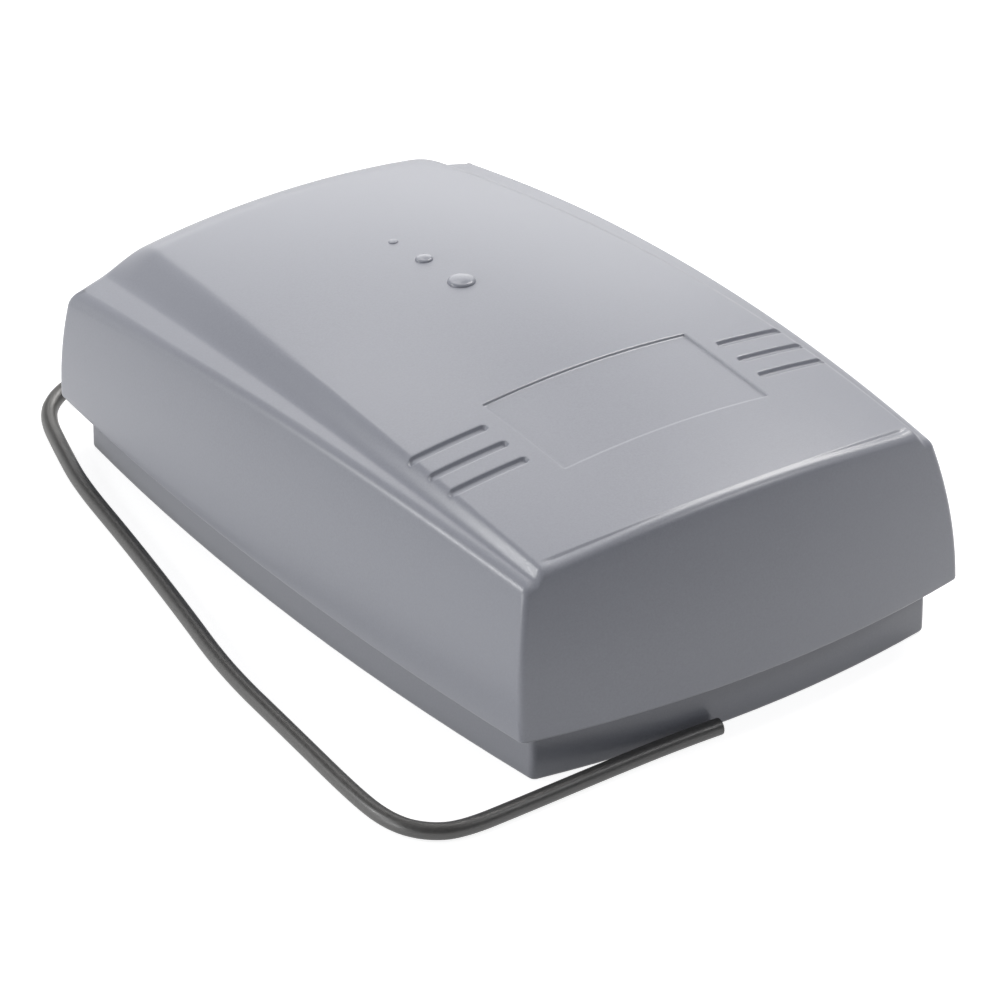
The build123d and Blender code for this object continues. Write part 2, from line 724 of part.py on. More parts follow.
# Power supply: cans with a rolled groove, the bridge, the regulator, the surge disc and the fuse
for name, (can_x, can_y), can_radius, can_height in capacitors:
    with BuildPart() as capacitor:
        with Locations((can_x, can_y, board_top + can_height / 2)):
            Cylinder(can_radius, can_height)
        fillet(capacitor.edges().filter_by(GeomType.CIRCLE), capacitor_edge)
        groove_height, groove_radius, groove_out = capacitor_groove
        with Locations((can_x, can_y, board_top + groove_height)):
            Torus(can_radius + groove_out, groove_radius, mode=Mode.SUBTRACT)
    save(capacitor.part, name)

with BuildPart() as rectifier:
    with Locations((*rectifier_place, board_top + relay_standoff + rectifier_size[2] / 2)):
        Box(*rectifier_size)
    chamfer(rectifier.faces().sort_by(Axis.Z)[-1].edges(), package_edge)
    with Locations((*rectifier_place, board_top + rectifier_leg[2] / 2)):
        with GridLocations(*rectifier_legs_apart, 2, 2):
            Box(*rectifier_leg)
save(rectifier.part, "rectifier")

with BuildPart() as voltage_regulator:
    with Locations((*regulator_place, board_top + regulator_size[2] / 2)):
        Box(*regulator_size)
    chamfer(voltage_regulator.faces().sort_by(Axis.Z)[-1].edges(), package_edge)
    tab_y = regulator_place[1] + (regulator_size[1] + regulator_tab[1]) / 2
    with Locations((regulator_place[0], tab_y, board_top + regulator_tab[2] / 2)):
        Box(*regulator_tab)
    leg_y = regulator_place[1] - (regulator_size[1] + regulator_leg[1]) / 2
    with Locations((regulator_place[0], leg_y, board_top + regulator_leg[2] / 2)):
        with GridLocations(regulator_legs_apart, 1, 2, 1):
            Box(*regulator_leg)
save(voltage_regulator.part, "voltage_regulator")

with BuildPart() as varistor:
    with Locations((*varistor_place, board_top + varistor_standoff + varistor_radius)):
        Cylinder(varistor_radius, varistor_thickness, rotation=(90, 0, 0))
    fillet(varistor.edges().filter_by(GeomType.CIRCLE), varistor_rounding)
    with Locations((*varistor_place, board_top + varistor_leg[1] / 2)):
        with GridLocations(varistor_legs_apart, 1, 2, 1):
            Cylinder(*varistor_leg)
save(varistor.part, "varistor")

with BuildPart() as fuse_glass:
    glass_length = 2 * (fuse_half_length - fuse_cap_length)
    with Locations((fuse_x, fuse_y, fuse_z)):
        Cylinder(fuse_radius - fuse_glass_inset, glass_length, rotation=(90, 0, 0))
save(fuse_glass.part, "fuse_glass")

with BuildPart() as fuse_caps:
    for side in (-1, 1):
        with Locations((fuse_x, fuse_y + side * (fuse_half_length - fuse_cap_length / 2), fuse_z)):
            Cylinder(fuse_radius, fuse_cap_length, rotation=(90, 0, 0))
save(fuse_caps.part, "fuse_caps")

with BuildPart() as fuse_clips:
    for side in (-1, 1):
        clip_y = fuse_y + side * (fuse_half_length - fuse_cap_length / 2)
        with Locations((fuse_x, clip_y, board_top + clip_sheet / 2)):
            Box(2 * (fuse_radius + clip_sheet), clip_length, clip_sheet)
        with Locations((fuse_x, clip_y, board_top + clip_height / 2)):
            with GridLocations(2 * (fuse_radius + clip_arm_offset), 1, 2, 1):
                Box(clip_arm_sheet, clip_length, clip_height)
save(fuse_clips.part, "fuse_clips")

# What a person works with the cover off: two learn buttons, two mode switches, a trimmer, two lamps
with BuildPart() as learn_switch_bodies:
    for button_x in button_places:
        with Locations((button_x, button_y, board_top + switch_height / 2)):
            Box(switch_size, switch_size, switch_height)
        with Locations((button_x, button_y, board_top + switch_height)):
            Cylinder(button_radius + running_gap, 2 * button_well, mode=Mode.SUBTRACT)
    chamfer(learn_switch_bodies.edges().filter_by(Axis.Z), corner_cut)
save(learn_switch_bodies.part, "learn_switch_bodies")

for number, button_x in enumerate(button_places, start=1):
    with BuildPart() as learn_button:
        button_bottom = board_top + switch_height - button_well + 1.2 * button_travel
        with Locations((button_x, button_y, (button_bottom + button_top_z) / 2)):
            Cylinder(button_radius, button_top_z - button_bottom)
        fillet(learn_button.faces().sort_by(Axis.Z)[-1].edges(), button_edge)
    save(learn_button.part, f"learn_button_{number}")

with BuildPart() as indicator_leds:
    for button_x in button_places:
        with Locations((button_x, lens_y, board_top + lens_rim[1] / 2)):
            Cylinder(*lens_rim)
        with Locations((button_x, lens_y, board_top + lens_height / 2)):
            Cylinder(lens_radius, lens_height)
        with Locations((button_x, lens_y, board_top + lens_height)):
            Sphere(lens_radius)
save(indicator_leds.part, "indicator_leds")

with BuildPart() as dip_switch_body:
    with Locations((dip_x, dip_y, board_top + dip_size[2] / 2)):
        Box(*dip_size)
    with Locations((dip_x, dip_y, board_top + dip_size[2])):
        with GridLocations(dip_pitch, 1, 2, 1):
            well_length = dip_knob[1] + dip_travel + 2 * dip_end_gap
            Box(dip_knob[0] + 2 * running_gap, well_length, 2 * dip_well, mode=Mode.SUBTRACT)
save(dip_switch_body.part, "dip_switch_body")

for number, side in ((1, -1), (2, 1)):
    with BuildPart() as dip_slider:
        knob_y = dip_y - dip_travel / 2
        knob_z = board_top + dip_size[2] - dip_seat + dip_knob[2] / 2
        with Locations((dip_x + side * dip_pitch / 2, knob_y, knob_z)):
            Box(*dip_knob)
        chamfer(dip_slider.faces().sort_by(Axis.Z)[-1].edges(), dip_knob_chamfer)
    save(dip_slider.part, f"dip_slider_{number}")

with BuildPart() as trimmer_body:
    with Locations((*trimmer_place, board_top + trimmer_height / 2)):
        Box(trimmer_width, trimmer_width, trimmer_height)
    with Locations((*trimmer_place, board_top + trimmer_height)):
        Cylinder(trimmer_radius + running_gap, 2 * trimmer_well, mode=Mode.SUBTRACT)
save(trimmer_body.part, "trimmer_body")

with BuildPart() as trimmer_rotor:
    rotor_bottom = board_top + trimmer_height - trimmer_well + running_gap
    with Locations((*trimmer_place, rotor_bottom + rotor_height / 2)):
        Cylinder(trimmer_radius, rotor_height)
    with Locations((*trimmer_place, rotor_bottom + rotor_height)):
        for cut_x, cut_y in rotor_cross:
            Box(cut_x, cut_y, 2 * rotor_cross_depth, mode=Mode.SUBTRACT)
save(trimmer_rotor.part, "trimmer_rotor")

# Small parts soldered flat on the board
with BuildPart() as resistors:
    with Locations(*[(x, y, board_top + resistor_size[2] / 2) for x, y in resistor_places]):
        Box(*resistor_size)
save(resistors.part, "resistors")

with BuildPart() as chip_capacitors:
    middle_z = board_top + chip_capacitor_size[2] / 2
    with Locations(*[(x, y, middle_z) for x, y in chip_capacitor_places]):
        Box(*chip_capacitor_size)
save(chip_capacitors.part, "chip_capacitors")

with BuildPart() as transistors:
    with Locations(*[(x, y, board_top + transistor_size[2] / 2) for x, y in transistor_places]):
        Box(*transistor_size)
save(transistors.part, "transistors")

# Circuit board with holes for its screws and for every pin, and the screws that hold it
with BuildPart() as circuit_board:
    with BuildSketch(Plane.XY.offset(board_bottom)):
        RectangleRounded(2 * board_half_x, 2 * board_half_y, board_corner)
        with GridLocations(2 * post_x, 2 * post_y, 2, 2):
            Circle(screw_radius + 4 * running_gap, mode=Mode.SUBTRACT)
        with Locations(*[(pole, cell_y - pin_back) for pole in power_poles + aerial_poles]):
            Circle(pin_hole_radius, mode=Mode.SUBTRACT)
        with Locations(*[(x + dx, y + dy) for x, y in relay_places for dx, dy in relay_pin_places]):
            Circle(round_pin_hole_radius, mode=Mode.SUBTRACT)
        with Locations((module_x, module_middle)):
            with GridLocations(1, module_pin_pitch, 1, module_pin_count):
                Circle(round_pin_hole_radius, mode=Mode.SUBTRACT)
    extrude(amount=board_thickness)
save(circuit_board.part, "circuit_board")

with BuildPart() as board_screws:
    with Locations((0, 0, (screw_tip_z + board_top) / 2)):
        with GridLocations(2 * post_x, 2 * post_y, 2, 2):
            Cylinder(screw_radius, board_top - screw_tip_z)
    with Locations((0, 0, board_top + screw_head_height / 2)):
        with GridLocations(2 * post_x, 2 * post_y, 2, 2):
            Cylinder(screw_head_radius, screw_head_height)
    fillet(board_screws.faces().group_by(Axis.Z)[-1].edges(), screw_top_rounding)
    with Locations((0, 0, board_top + screw_head_height)):
        with GridLocations(2 * post_x, 2 * post_y, 2, 2):
            Box(screw_cross[0], screw_cross[1], 2 * screw_cross[2], mode=Mode.SUBTRACT)
            Box(screw_cross[1], screw_cross[0], 2 * screw_cross[2], mode=Mode.SUBTRACT)
save(board_screws.part, "board_screws")
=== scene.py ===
"""Looks of a two-channel radio receiver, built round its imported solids.

Every length in the classes is in millimetres, in the part's own frame: the origin is the middle of the
case's underside, +Z is up, -Y is the front and +Y the rear wall, where the wires leave. Only the lamps
and the floor are given in metres.
"""

import json
import logging
import math
from dataclasses import dataclass, field, replace
from enum import Enum

import bpy
import numpy as np
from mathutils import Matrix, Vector


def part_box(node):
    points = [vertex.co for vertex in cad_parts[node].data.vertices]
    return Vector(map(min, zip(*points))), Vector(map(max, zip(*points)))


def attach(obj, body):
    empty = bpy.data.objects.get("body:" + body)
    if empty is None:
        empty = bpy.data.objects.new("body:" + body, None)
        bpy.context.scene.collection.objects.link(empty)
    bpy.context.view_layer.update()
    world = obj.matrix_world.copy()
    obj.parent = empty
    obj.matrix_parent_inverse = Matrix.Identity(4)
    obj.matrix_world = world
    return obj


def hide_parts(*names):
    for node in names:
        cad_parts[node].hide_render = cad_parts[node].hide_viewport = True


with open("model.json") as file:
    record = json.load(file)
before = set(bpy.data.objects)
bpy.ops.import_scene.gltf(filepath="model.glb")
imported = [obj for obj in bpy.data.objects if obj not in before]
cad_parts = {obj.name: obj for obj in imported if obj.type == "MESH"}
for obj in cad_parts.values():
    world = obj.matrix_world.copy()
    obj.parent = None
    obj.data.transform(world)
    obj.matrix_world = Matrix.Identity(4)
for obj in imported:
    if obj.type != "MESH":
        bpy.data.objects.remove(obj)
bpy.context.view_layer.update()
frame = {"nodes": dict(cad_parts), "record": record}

log = logging.getLogger("receiver")
METRES = 0.001
QUARTER = math.pi / 2
GROOVE_TURN = math.radians(5.0)
Array = np.ndarray
Pair = tuple[np.ndarray, np.ndarray]
Point = tuple[float, float, float]
Curve = tuple[float, float, float]
Colour = tuple[float, float, float]
Socket = bpy.types.NodeSocket
Value = Socket | Colour | float | None


class Body(str, Enum):
    """Bodies of the part that pieces of the scene ride on."""

    BASE = "base"
    COVER = "cover"


class Part(int, Enum):
    """Stretches of a four-sided outline, anticlockwise from the front."""

    FRONT = 0
    FRONT_RIGHT = 1
    RIGHT = 2
    REAR_RIGHT = 3
    REAR = 4
    REAR_LEFT = 5
    LEFT = 6
    FRONT_LEFT = 7


# Numbers and meshes


def mix(first: Array | float, last: Array | float, share: Array | float) -> Array | float:
    """The value a share of the way from first to last."""
    return first + (last - first) * share


def smooth(low: float, high: float, value: Array) -> Array:
    """0 below low and 1 above high, with an S curve 3t^2 - 2t^3 between."""
    t = np.clip((value - low) / (high - low), 0.0, 1.0)
    return t * t * (3 - 2 * t)


def steps(low: float, high: float, size: float) -> Array:
    """Evenly spaced values from low to high, about size apart, both ends included."""
    return np.linspace(low, high, max(2, int(round((high - low) / size)) + 1))


def bent(terms: Curve, value: Array) -> Array:
    """The curve terms[0] + terms[1] * value + terms[2] * value^2."""
    return terms[0] + terms[1] * value + terms[2] * value**2


def turns(sides: int) -> Array:
    """Angles of so many places round a circle."""
    return np.linspace(0, 2 * math.pi, sides + 1)[:-1]


def grid_faces(rows: int, columns: int, closed: bool = False) -> Array:
    """Quads of a grid of points numbered row by row.

    Args:
        rows: number of rows.
        columns: number of points in a row.
        closed: whether each row's last point joins its first.

    Returns:
        Face corners, turned so that a grid with x along the rows and y up the columns faces +Z.
    """
    index = np.arange(rows * columns).reshape(rows, columns)
    if closed:
        index = np.hstack([index, index[:, :1]])
    a, b, c, d = index[:-1, :-1], index[:-1, 1:], index[1:, 1:], index[1:, :-1]
    return np.stack([a, b, c, d], axis=-1).reshape(-1, 4)


def bezier(first: Array, corner: Array, last: Array, count: int) -> Array:
    """Points of a quarter-round between two surfaces.

    A rational quadratic curve with middle weight cos 45 degrees: a true arc where both legs are equal.

    Args:
        first: points on one surface, N x 3.
        corner: where the surfaces would meet, N x 3.
        last: points on the other surface, N x 3.
        count: number of rows of points, both ends included.

    Returns:
        Rows of points, count x N x 3.
    """
    q = np.linspace(0.0, 1.0, count)[:, None, None]
    middle = 2 * math.cos(math.pi / 4) * q * (1 - q)
    total = (1 - q) ** 2 + middle + q**2
    return ((1 - q) ** 2 * first + middle * corner + q**2 * last) / total


def rounded_block(size: Point, radius: float, arc_steps: int = 3) -> Pair:
    """Points and faces of a block with rounded edges and corners, about the origin.

    Each point q of a plain block's surface goes to c + r * (q - c) / |q - c|, where c is q clipped into
    the block that is smaller by the radius r all round.

    Args:
        size: full lengths along x, y and z.
        radius: radius of the rounding, at most half the smallest length.
        arc_steps: segments in half a rounding.

    Returns:
        Points, N x 3, and faces whose corners turn outward.
    """
    half = np.array(size) / 2
    core = half - radius
    ease = radius * np.tan(np.linspace(0, math.pi / 4, arc_steps + 1))
    points, faces, count = [], [], 0
    for axis in range(3):
        u, v = (axis + 1) % 3, (axis + 2) % 3
        lines = [np.concatenate([-(core[k] + ease[::-1]), core[k] + ease]) for k in (u, v)]
        grid_u, grid_v = np.meshgrid(*lines)
        for sign in (-1, 1):
            spot = np.zeros((grid_u.size, 3))
            spot[:, u], spot[:, v], spot[:, axis] = grid_u.ravel(), grid_v.ravel(), sign * half[axis]
            inner = np.clip(spot, -core, core)
            away = spot - inner
            points.append(inner + radius * away / np.linalg.norm(away, axis=1)[:, None])
            faces.append(grid_faces(*grid_u.shape)[:, ::sign] + count)
            count += grid_u.size
    points, same = np.unique(np.round(np.concatenate(points), 6), axis=0, return_inverse=True)
    return points, same.ravel()[np.concatenate(faces)]


class MeshPiece:
    """Collects blocks of points and faces, and turns them into one object."""

    def __init__(self, name: str) -> None:
        """Starts an empty piece of that name.

        Args:
            name: the object's name.
        """
        self.name = name
        self.points: list[Array] = []
        self.faces: list[Array] = []
        self.count = 0

    def block(self, points: Array, faces: Array) -> Array:
        """Adds points and faces that count from 0, and returns the points' numbers in the piece.

        Args:
            points: places, in any shape that ends in x, y and z.
            faces: their corners, one row for each face.

        Returns:
            The points' numbers in the piece.
        """
        flat = np.asarray(points, float).reshape(-1, 3)
        self.points.append(flat)
        self.faces.append(np.asarray(faces) + self.count)
        numbers = np.arange(len(flat)) + self.count
        self.count += len(flat)
        return numbers

    def tube(self, rows: Array, inward: bool = False) -> Array:
        """Adds rows of points that each close into a ring, and the quads between them.

        Args:
            rows: places, rows x points x 3, anticlockwise from above and from the lowest row up.
            inward: whether the faces look at the axis.

        Returns:
            The points' numbers, rows x points.
        """
        faces = grid_faces(*rows.shape[:2], closed=True)
        return self.block(rows, faces[:, ::-1] if inward else faces).reshape(rows.shape[:2])

    def slab(self, points: Array, faces: Array, down: Array) -> None:
        """Adds a thin closed sheet: the faces, a copy that looks the other way, and walls along open edges.

        Args:
            points: places of the side that shows.
            faces: its quads.
            down: the step from that side to the hidden one, the same for all points or one for each.
        """
        flat = np.asarray(points, float).reshape(-1, 3)
        seen = self.block(flat, faces)
        hidden = self.block(flat + down, faces[:, ::-1])
        edges = np.stack([faces, np.roll(faces, -1, axis=1)], axis=-1).reshape(-1, 2)
        _, first, uses = np.unique(np.sort(edges, axis=1), axis=0, return_index=True, return_counts=True)
        start, end = edges[first[uses == 1]].T
        self.join(np.stack([seen[end], seen[start], hidden[start], hidden[end]], axis=-1))

    def join(self, faces: Array) -> None:
        """Adds faces between points that are there already."""
        self.faces.append(np.asarray(faces))

    def bridge(self, lower: Array, upper: Array) -> None:
        """Quads between two closed rings of as many points, from the lower ring up to the upper."""
        self.join(np.stack([lower, np.roll(lower, -1), np.roll(upper, -1), upper], axis=-1))

    def build(self, sharp_deg: float, body: Body, slot: str, replaces: str | None = None) -> bpy.types.Object:
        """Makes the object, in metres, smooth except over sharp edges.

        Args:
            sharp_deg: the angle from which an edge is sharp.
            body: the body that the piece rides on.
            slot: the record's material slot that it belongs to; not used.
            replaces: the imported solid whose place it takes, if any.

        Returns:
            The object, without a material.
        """
        mesh = bpy.data.meshes.new(self.name)
        points = np.concatenate(self.points) * METRES
        corners = [face for block in self.faces for face in block.tolist()]
        mesh.from_pydata(points.tolist(), [], corners)
        mesh.validate()
        mesh.shade_smooth()
        mesh.set_sharp_from_angle(angle=math.radians(sharp_deg))
        piece = bpy.data.objects.new(self.name, mesh)
        bpy.context.scene.collection.objects.link(piece)
        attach(piece, body.value)
        if replaces:
            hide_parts(replaces)
        return piece


# The case's form


@dataclass(frozen=True)
class Outline:
    """Places round a case with four bowed sides and rounded corners, at any height.

    Each side is an arc through two corner places and a middle that bows out; each corner is a circle
    that touches both arcs from inside. The right half is worked out, and the left half mirrors it.
    """

    half_x: Array
    front_y: Array
    rear_y: Array
    side_bow: Array
    front_bow: Array
    rear_bow: Array
    corner: float = 1.0

    def corner_centre(self, end: Array, end_y: Array, side: tuple[Array, ...], turn: int) -> Pair:
        """Centre of a corner circle: where the two arcs' circles, each smaller by its radius, cross.

        Args:
            end: radius of the front or rear arc.
            end_y: y of its centre, which lies at x = 0.
            side: x and y of the side arc's centre, and its radius.
            turn: 1 for the crossing at the front, -1 for the one at the rear.

        Returns:
            x and y of the centre.
        """
        side_x, side_y, side_radius = side
        gap_y = side_y - end_y
        apart = np.hypot(side_x, gap_y)
        first, second = end - self.corner, side_radius - self.corner
        along = (first**2 - second**2 + apart**2) / (2 * apart)
        across = turn * np.sqrt(first**2 - along**2)
        return (along * side_x - across * gap_y) / apart, end_y + (along * gap_y + across * side_x) / apart

    def arcs(self) -> list[tuple[Array, ...]]:
        """The arcs from the front round the right side to the rear, in the order of Part.

        An arc with half chord a and bow b has the radius (a^2 + b^2) / 2b.

        Returns:
            For each arc x and y of its centre, its radius, and its first and last angle.
        """
        half_y, middle_y = (self.rear_y - self.front_y) / 2, (self.front_y + self.rear_y) / 2
        chords = ((half_y, self.side_bow), (self.half_x, self.front_bow), (self.half_x, self.rear_bow))
        side, front, rear = ((half**2 + bow**2) / (2 * bow) for half, bow in chords)
        middle = (self.half_x + self.side_bow - side, middle_y, side)
        front_y = self.front_y - self.front_bow + front
        rear_y = self.rear_y + self.rear_bow - rear
        low_corner = self.corner_centre(front, front_y, middle, 1)
        high_corner = self.corner_centre(rear, rear_y, middle, -1)
        front_end = np.arcsin(low_corner[0] / (front - self.corner)) - QUARTER
        rear_start = QUARTER - np.arcsin(high_corner[0] / (rear - self.corner))
        low, high = (np.arctan2(y - middle_y, x - middle[0]) for x, y in (low_corner, high_corner))
        return [
            (0.0, front_y, front, -math.pi - front_end, front_end),
            (*low_corner, self.corner, front_end, low),
            (*middle, low, high),
            (*high_corner, self.corner, high, rear_start),
            (0.0, rear_y, rear, rear_start, math.pi - rear_start),
        ]

    def shares(self, part: Part, off: Array) -> Array:
        """How far along the front, right or rear arc places are that lie so far off its middle.

        Args:
            part: Part.FRONT, Part.RIGHT or Part.REAR.
            off: distances off the arc's middle, anticlockwise.

        Returns:
            Shares of the way along the part.
        """
        _, _, radius, first, last = self.arcs()[part]
        middle = (part - Part.RIGHT) * QUARTER / 2
        return (middle + np.arcsin(off / radius) - first) / (last - first)

    def place(self, part: Array, share: Array) -> Pair:
        """Points of the outline and its outward directions.

        Args:
            part: Part of each point.
            share: how far along its part, anticlockwise, each point is.

        Returns:
            Points and unit directions, N x 2 each.
        """
        mirrored = part >= Part.REAR_LEFT
        kind = np.where(mirrored, len(Part) - part, part)
        share = np.where(mirrored, 1 - share, share)
        arcs = np.array([[np.broadcast_to(value, share.shape) for value in arc] for arc in self.arcs()])
        x, y, radius, first, last = arcs[kind, :, np.arange(len(kind))].T
        turn, sign = mix(first, last, share), np.where(mirrored, -1.0, 1.0)
        away = np.stack([sign * np.cos(turn), np.sin(turn)], axis=-1)
        return np.stack([sign * x, y], axis=-1) + radius[:, None] * away, away


@dataclass(frozen=True)
class CaseForm:
    """The case's outside, from the same formulas as its solids.

    A Curve holds a value's terms: the value itself, its slope, and its bend.
    """

    rim_z: float = 7.54
    cover_wall: float = 1.8
    edge_front: Point = (30.45, -47.9, 26.98)
    edge_rear: Point = (31.8, 50.7, 22.28)
    edge_bow: tuple[float, float] = (2.0, 2.9)
    panel_front: tuple[float, float] = (28.08, -48.5)
    panel_rear: tuple[float, float] = (22.52, 48.3)
    panel_bow: float = 1.95
    crown_along: Curve = (33.53, -0.02668, -0.001412)
    crown_across: float = -0.00369
    roll_from: float = 45.0
    roll_bend: float = 0.045
    shelf_slope: float = 0.22
    blend_from: float = 0.55
    blend_width: float = 0.65
    wall_half_x: Curve = (32.94, 0.017, -0.0075)
    wall_front_y: Curve = (-51.3, 0.053, 0.0048)
    wall_rear_y: Curve = (51.3, 0.03, -0.0048)
    wall_side_bow: Curve = (2.6, -0.02, 0.0)
    wall_front_bow: Curve = (3.5, -0.013, 0.0)
    wall_rear_bow: Curve = (3.5, -0.06, 0.0)

    def lines(self, y: Array) -> tuple[Array, Array, Array]:
        """The outer edge's x and z and the panel edge's x: straight from front to rear, plus a bow.

        Args:
            y: places from front to rear.

        Returns:
            The edge's x, the edge's z and the panel edge's x, for each y.
        """
        along = (y - self.edge_front[1]) / (self.edge_rear[1] - self.edge_front[1])
        bow = 1 - (2 * along - 1) ** 2
        edge_x = mix(self.edge_front[0], self.edge_rear[0], along) + self.edge_bow[0] * bow
        edge_z = mix(self.edge_front[2], self.edge_rear[2], along) + self.edge_bow[1] * bow
        share = (y - self.panel_front[1]) / (self.panel_rear[1] - self.panel_front[1])
        straight = mix(self.panel_front[0], self.panel_rear[0], share)
        return edge_x, edge_z, straight + self.panel_bow * (1 - (2 * share - 1) ** 2)

    def top(self, x: Array, y: Array) -> Array:
        """Height of the top: a crowned panel, a sloping shelf, and an S-shaped blend between them.

        Args:
            x: places across.
            y: places along, of the same shape or one that fits it.

        Returns:
            Heights, z.
        """
        edge_x, edge_z, panel_x = self.lines(y)
        roll = self.roll_bend * np.maximum(0.0, y - self.roll_from) ** 2
        panel = bent(self.crown_along, y) + self.crown_across * x**2 - roll
        shelf = edge_z + self.shelf_slope * (edge_x - np.abs(x))
        inward = (edge_x - np.abs(x)) / (edge_x - panel_x)
        return mix(shelf, panel, smooth(self.blend_from, self.blend_from + self.blend_width, inward))

    def walls(self, height: Array, inset: float) -> Outline:
        """The cover's outline at a height above its rim, moved in by the inset.

        Args:
            height: heights above the rim.
            inset: how far the walls are moved in.

        Returns:
            The outline at those heights.
        """
        return Outline(
            half_x=bent(self.wall_half_x, height) - inset,
            front_y=bent(self.wall_front_y, height) + inset,
            rear_y=bent(self.wall_rear_y, height) - inset,
            side_bow=bent(self.wall_side_bow, height),
            front_bow=bent(self.wall_front_bow, height),
            rear_bow=bent(self.wall_rear_bow, height),
        )


@dataclass(frozen=True)
class TopGrid:
    """A grid over the case's top whose lines run straight across the panel and meet the outline.

    Inside the core the lines are x and y. Between the core and the outline they run straight to places
    on the outline, and each corner is a Coons patch between its four edges. The beyond_ values are
    shares of the way from the core to the outline. Beside the grooves the rows fan out with them.
    """

    core_x: Array
    core_y: Array
    beyond_x: Array
    beyond_front: Array
    beyond_rear: Array
    corner_from: float = 0.9
    fan_rows: tuple[float, float, float, float] = (-39.0, -32.2, -20.0, -13.0)

    @property
    def columns(self) -> int:
        """Number of points across."""
        return len(self.core_x) + 2 * len(self.beyond_x)

    @property
    def rows(self) -> int:
        """Number of points along."""
        return len(self.core_y) + len(self.beyond_front) + len(self.beyond_rear)

    def faces(self) -> Array:
        """The grid's quads, which look up."""
        return grid_faces(self.rows, self.columns)

    def ends_y(self, out: Array) -> Array:
        """y of the core's rows so far out beyond it: the whole fan through the grooves, none elsewhere.

        Args:
            out: distance beyond the core, one value or one for each row.

        Returns:
            y for each of the core's rows.
        """
        low, full, end, high = self.fan_rows
        share = smooth(low, full, self.core_y) * (1 - smooth(end, high, self.core_y))
        return self.core_y + math.tan(GROOVE_TURN) * out * share

    def toward(self, t: Array, start: float, goal: float, side: int, bend: int) -> Pair:
        """Places that run from one on a side to the middle of a corner.

        Args:
            t: shares of the way; those up to corner_from are on the side.
            start: share of the first place along the side.
            goal: share of the side's end at that corner, 0 or 1.
            side: the side's Part.
            bend: the corner's Part.

        Returns:
            Part and share of each place.
        """
        on_side = t <= self.corner_from
        along = mix(start, goal, t / self.corner_from)
        around = mix(1 - goal, 0.5, (t - self.corner_from) / (1 - self.corner_from))
        return np.where(on_side, side, bend), np.where(on_side, along, around)

    def stations(self, ref: Outline) -> Pair:
        """Part and share of each boundary point, anticlockwise from the front left corner.

        Args:
            ref: the outline at the top edge's usual height, which sets where the lines end.

        Returns:
            Part numbers and shares along the parts.
        """
        out = ref.half_x + ref.side_bow - self.core_x[-1]
        right = ref.shares(Part.RIGHT, self.ends_y(out) - (ref.front_y + ref.rear_y) / 2)
        parts, shares = [], []
        for side, core, before, after in (
            (Part.FRONT, ref.shares(Part.FRONT, self.core_x), self.beyond_x, self.beyond_x),
            (Part.RIGHT, right, self.beyond_front, self.beyond_rear),
            (Part.REAR, ref.shares(Part.REAR, self.core_x), self.beyond_x, self.beyond_x),
            (Part.LEFT, 1 - right[::-1], self.beyond_rear, self.beyond_front),
        ):
            lead = self.toward(before, core[0], 0.0, side, (side - 1) % len(Part))
            trail = self.toward(after, core[-1], 1.0, side, side + 1)
            parts += [lead[0][::-1], np.full(len(core), side), trail[0][:-1]]
            shares += [lead[1][::-1], core, trail[1][:-1]]
        return np.concatenate(parts).astype(int), np.concatenate(shares)

    def ring(self) -> Array:
        """Numbers of the boundary points in the grid, in the stations' order."""
        index = np.arange(self.rows * self.columns).reshape(self.rows, self.columns)
        return np.concatenate([index[0], index[1:, -1], index[-1, ::-1][1:], index[::-1, 0][1:-1]])

    def row_ends(self) -> Pair:
        """Places in the stations' order where the core's rows end, on the right and on the left."""
        rows = len(self.beyond_front) + np.arange(len(self.core_y))
        return self.columns - 1 + rows, 2 * (self.rows + self.columns) - 4 - rows

    def fill(self, edge: Array) -> Pair:
        """x and y of every grid point, from the boundary points in the stations' order.

        The left and the front are filled like the right and the rear, in a mirrored view of the grid.

        Args:
            edge: x and y of the boundary points, N x 2.

        Returns:
            x and y of all points, row by row.
        """
        plan = np.zeros((self.rows * self.columns, 2))
        plan[self.ring()] = edge
        plan = plan.reshape(self.rows, self.columns, 2)
        wide = len(self.beyond_x)
        core = slice(wide, self.columns - wide)
        band = slice(len(self.beyond_front), self.rows - len(self.beyond_rear))
        plan[band, core] = np.stack(np.meshgrid(self.core_x, self.core_y), axis=-1)
        u = self.beyond_x[:, None]
        for view in (plan[band], plan[band, ::-1]):
            view[:, -wide:] = mix(view[:, -wide - 1, None], view[:, -1:], u)
        for half, beyond in ((plan[::-1], self.beyond_front), (plan, self.beyond_rear)):
            s = beyond[:, None, None]
            deep = len(beyond)
            half[-deep:, core] = mix(half[-deep - 1, core], half[-1, core], s)
            for view in (half, half[:, ::-1]):
                patch = view[-deep - 1 :, -wide - 1 :]
                near, far = mix(patch[0, 0], patch[0, -1], u), mix(patch[-1, 0], patch[-1, -1], u)
                start = mix(patch[0, 0], patch[-1, 0], s)
                both = mix(near, patch[-1, 1:], s) + mix(start, patch[1:, -1:], u)
                patch[1:, 1:] = both - mix(near, far, s)
        return plan[..., 0], plan[..., 1]


# Finishes


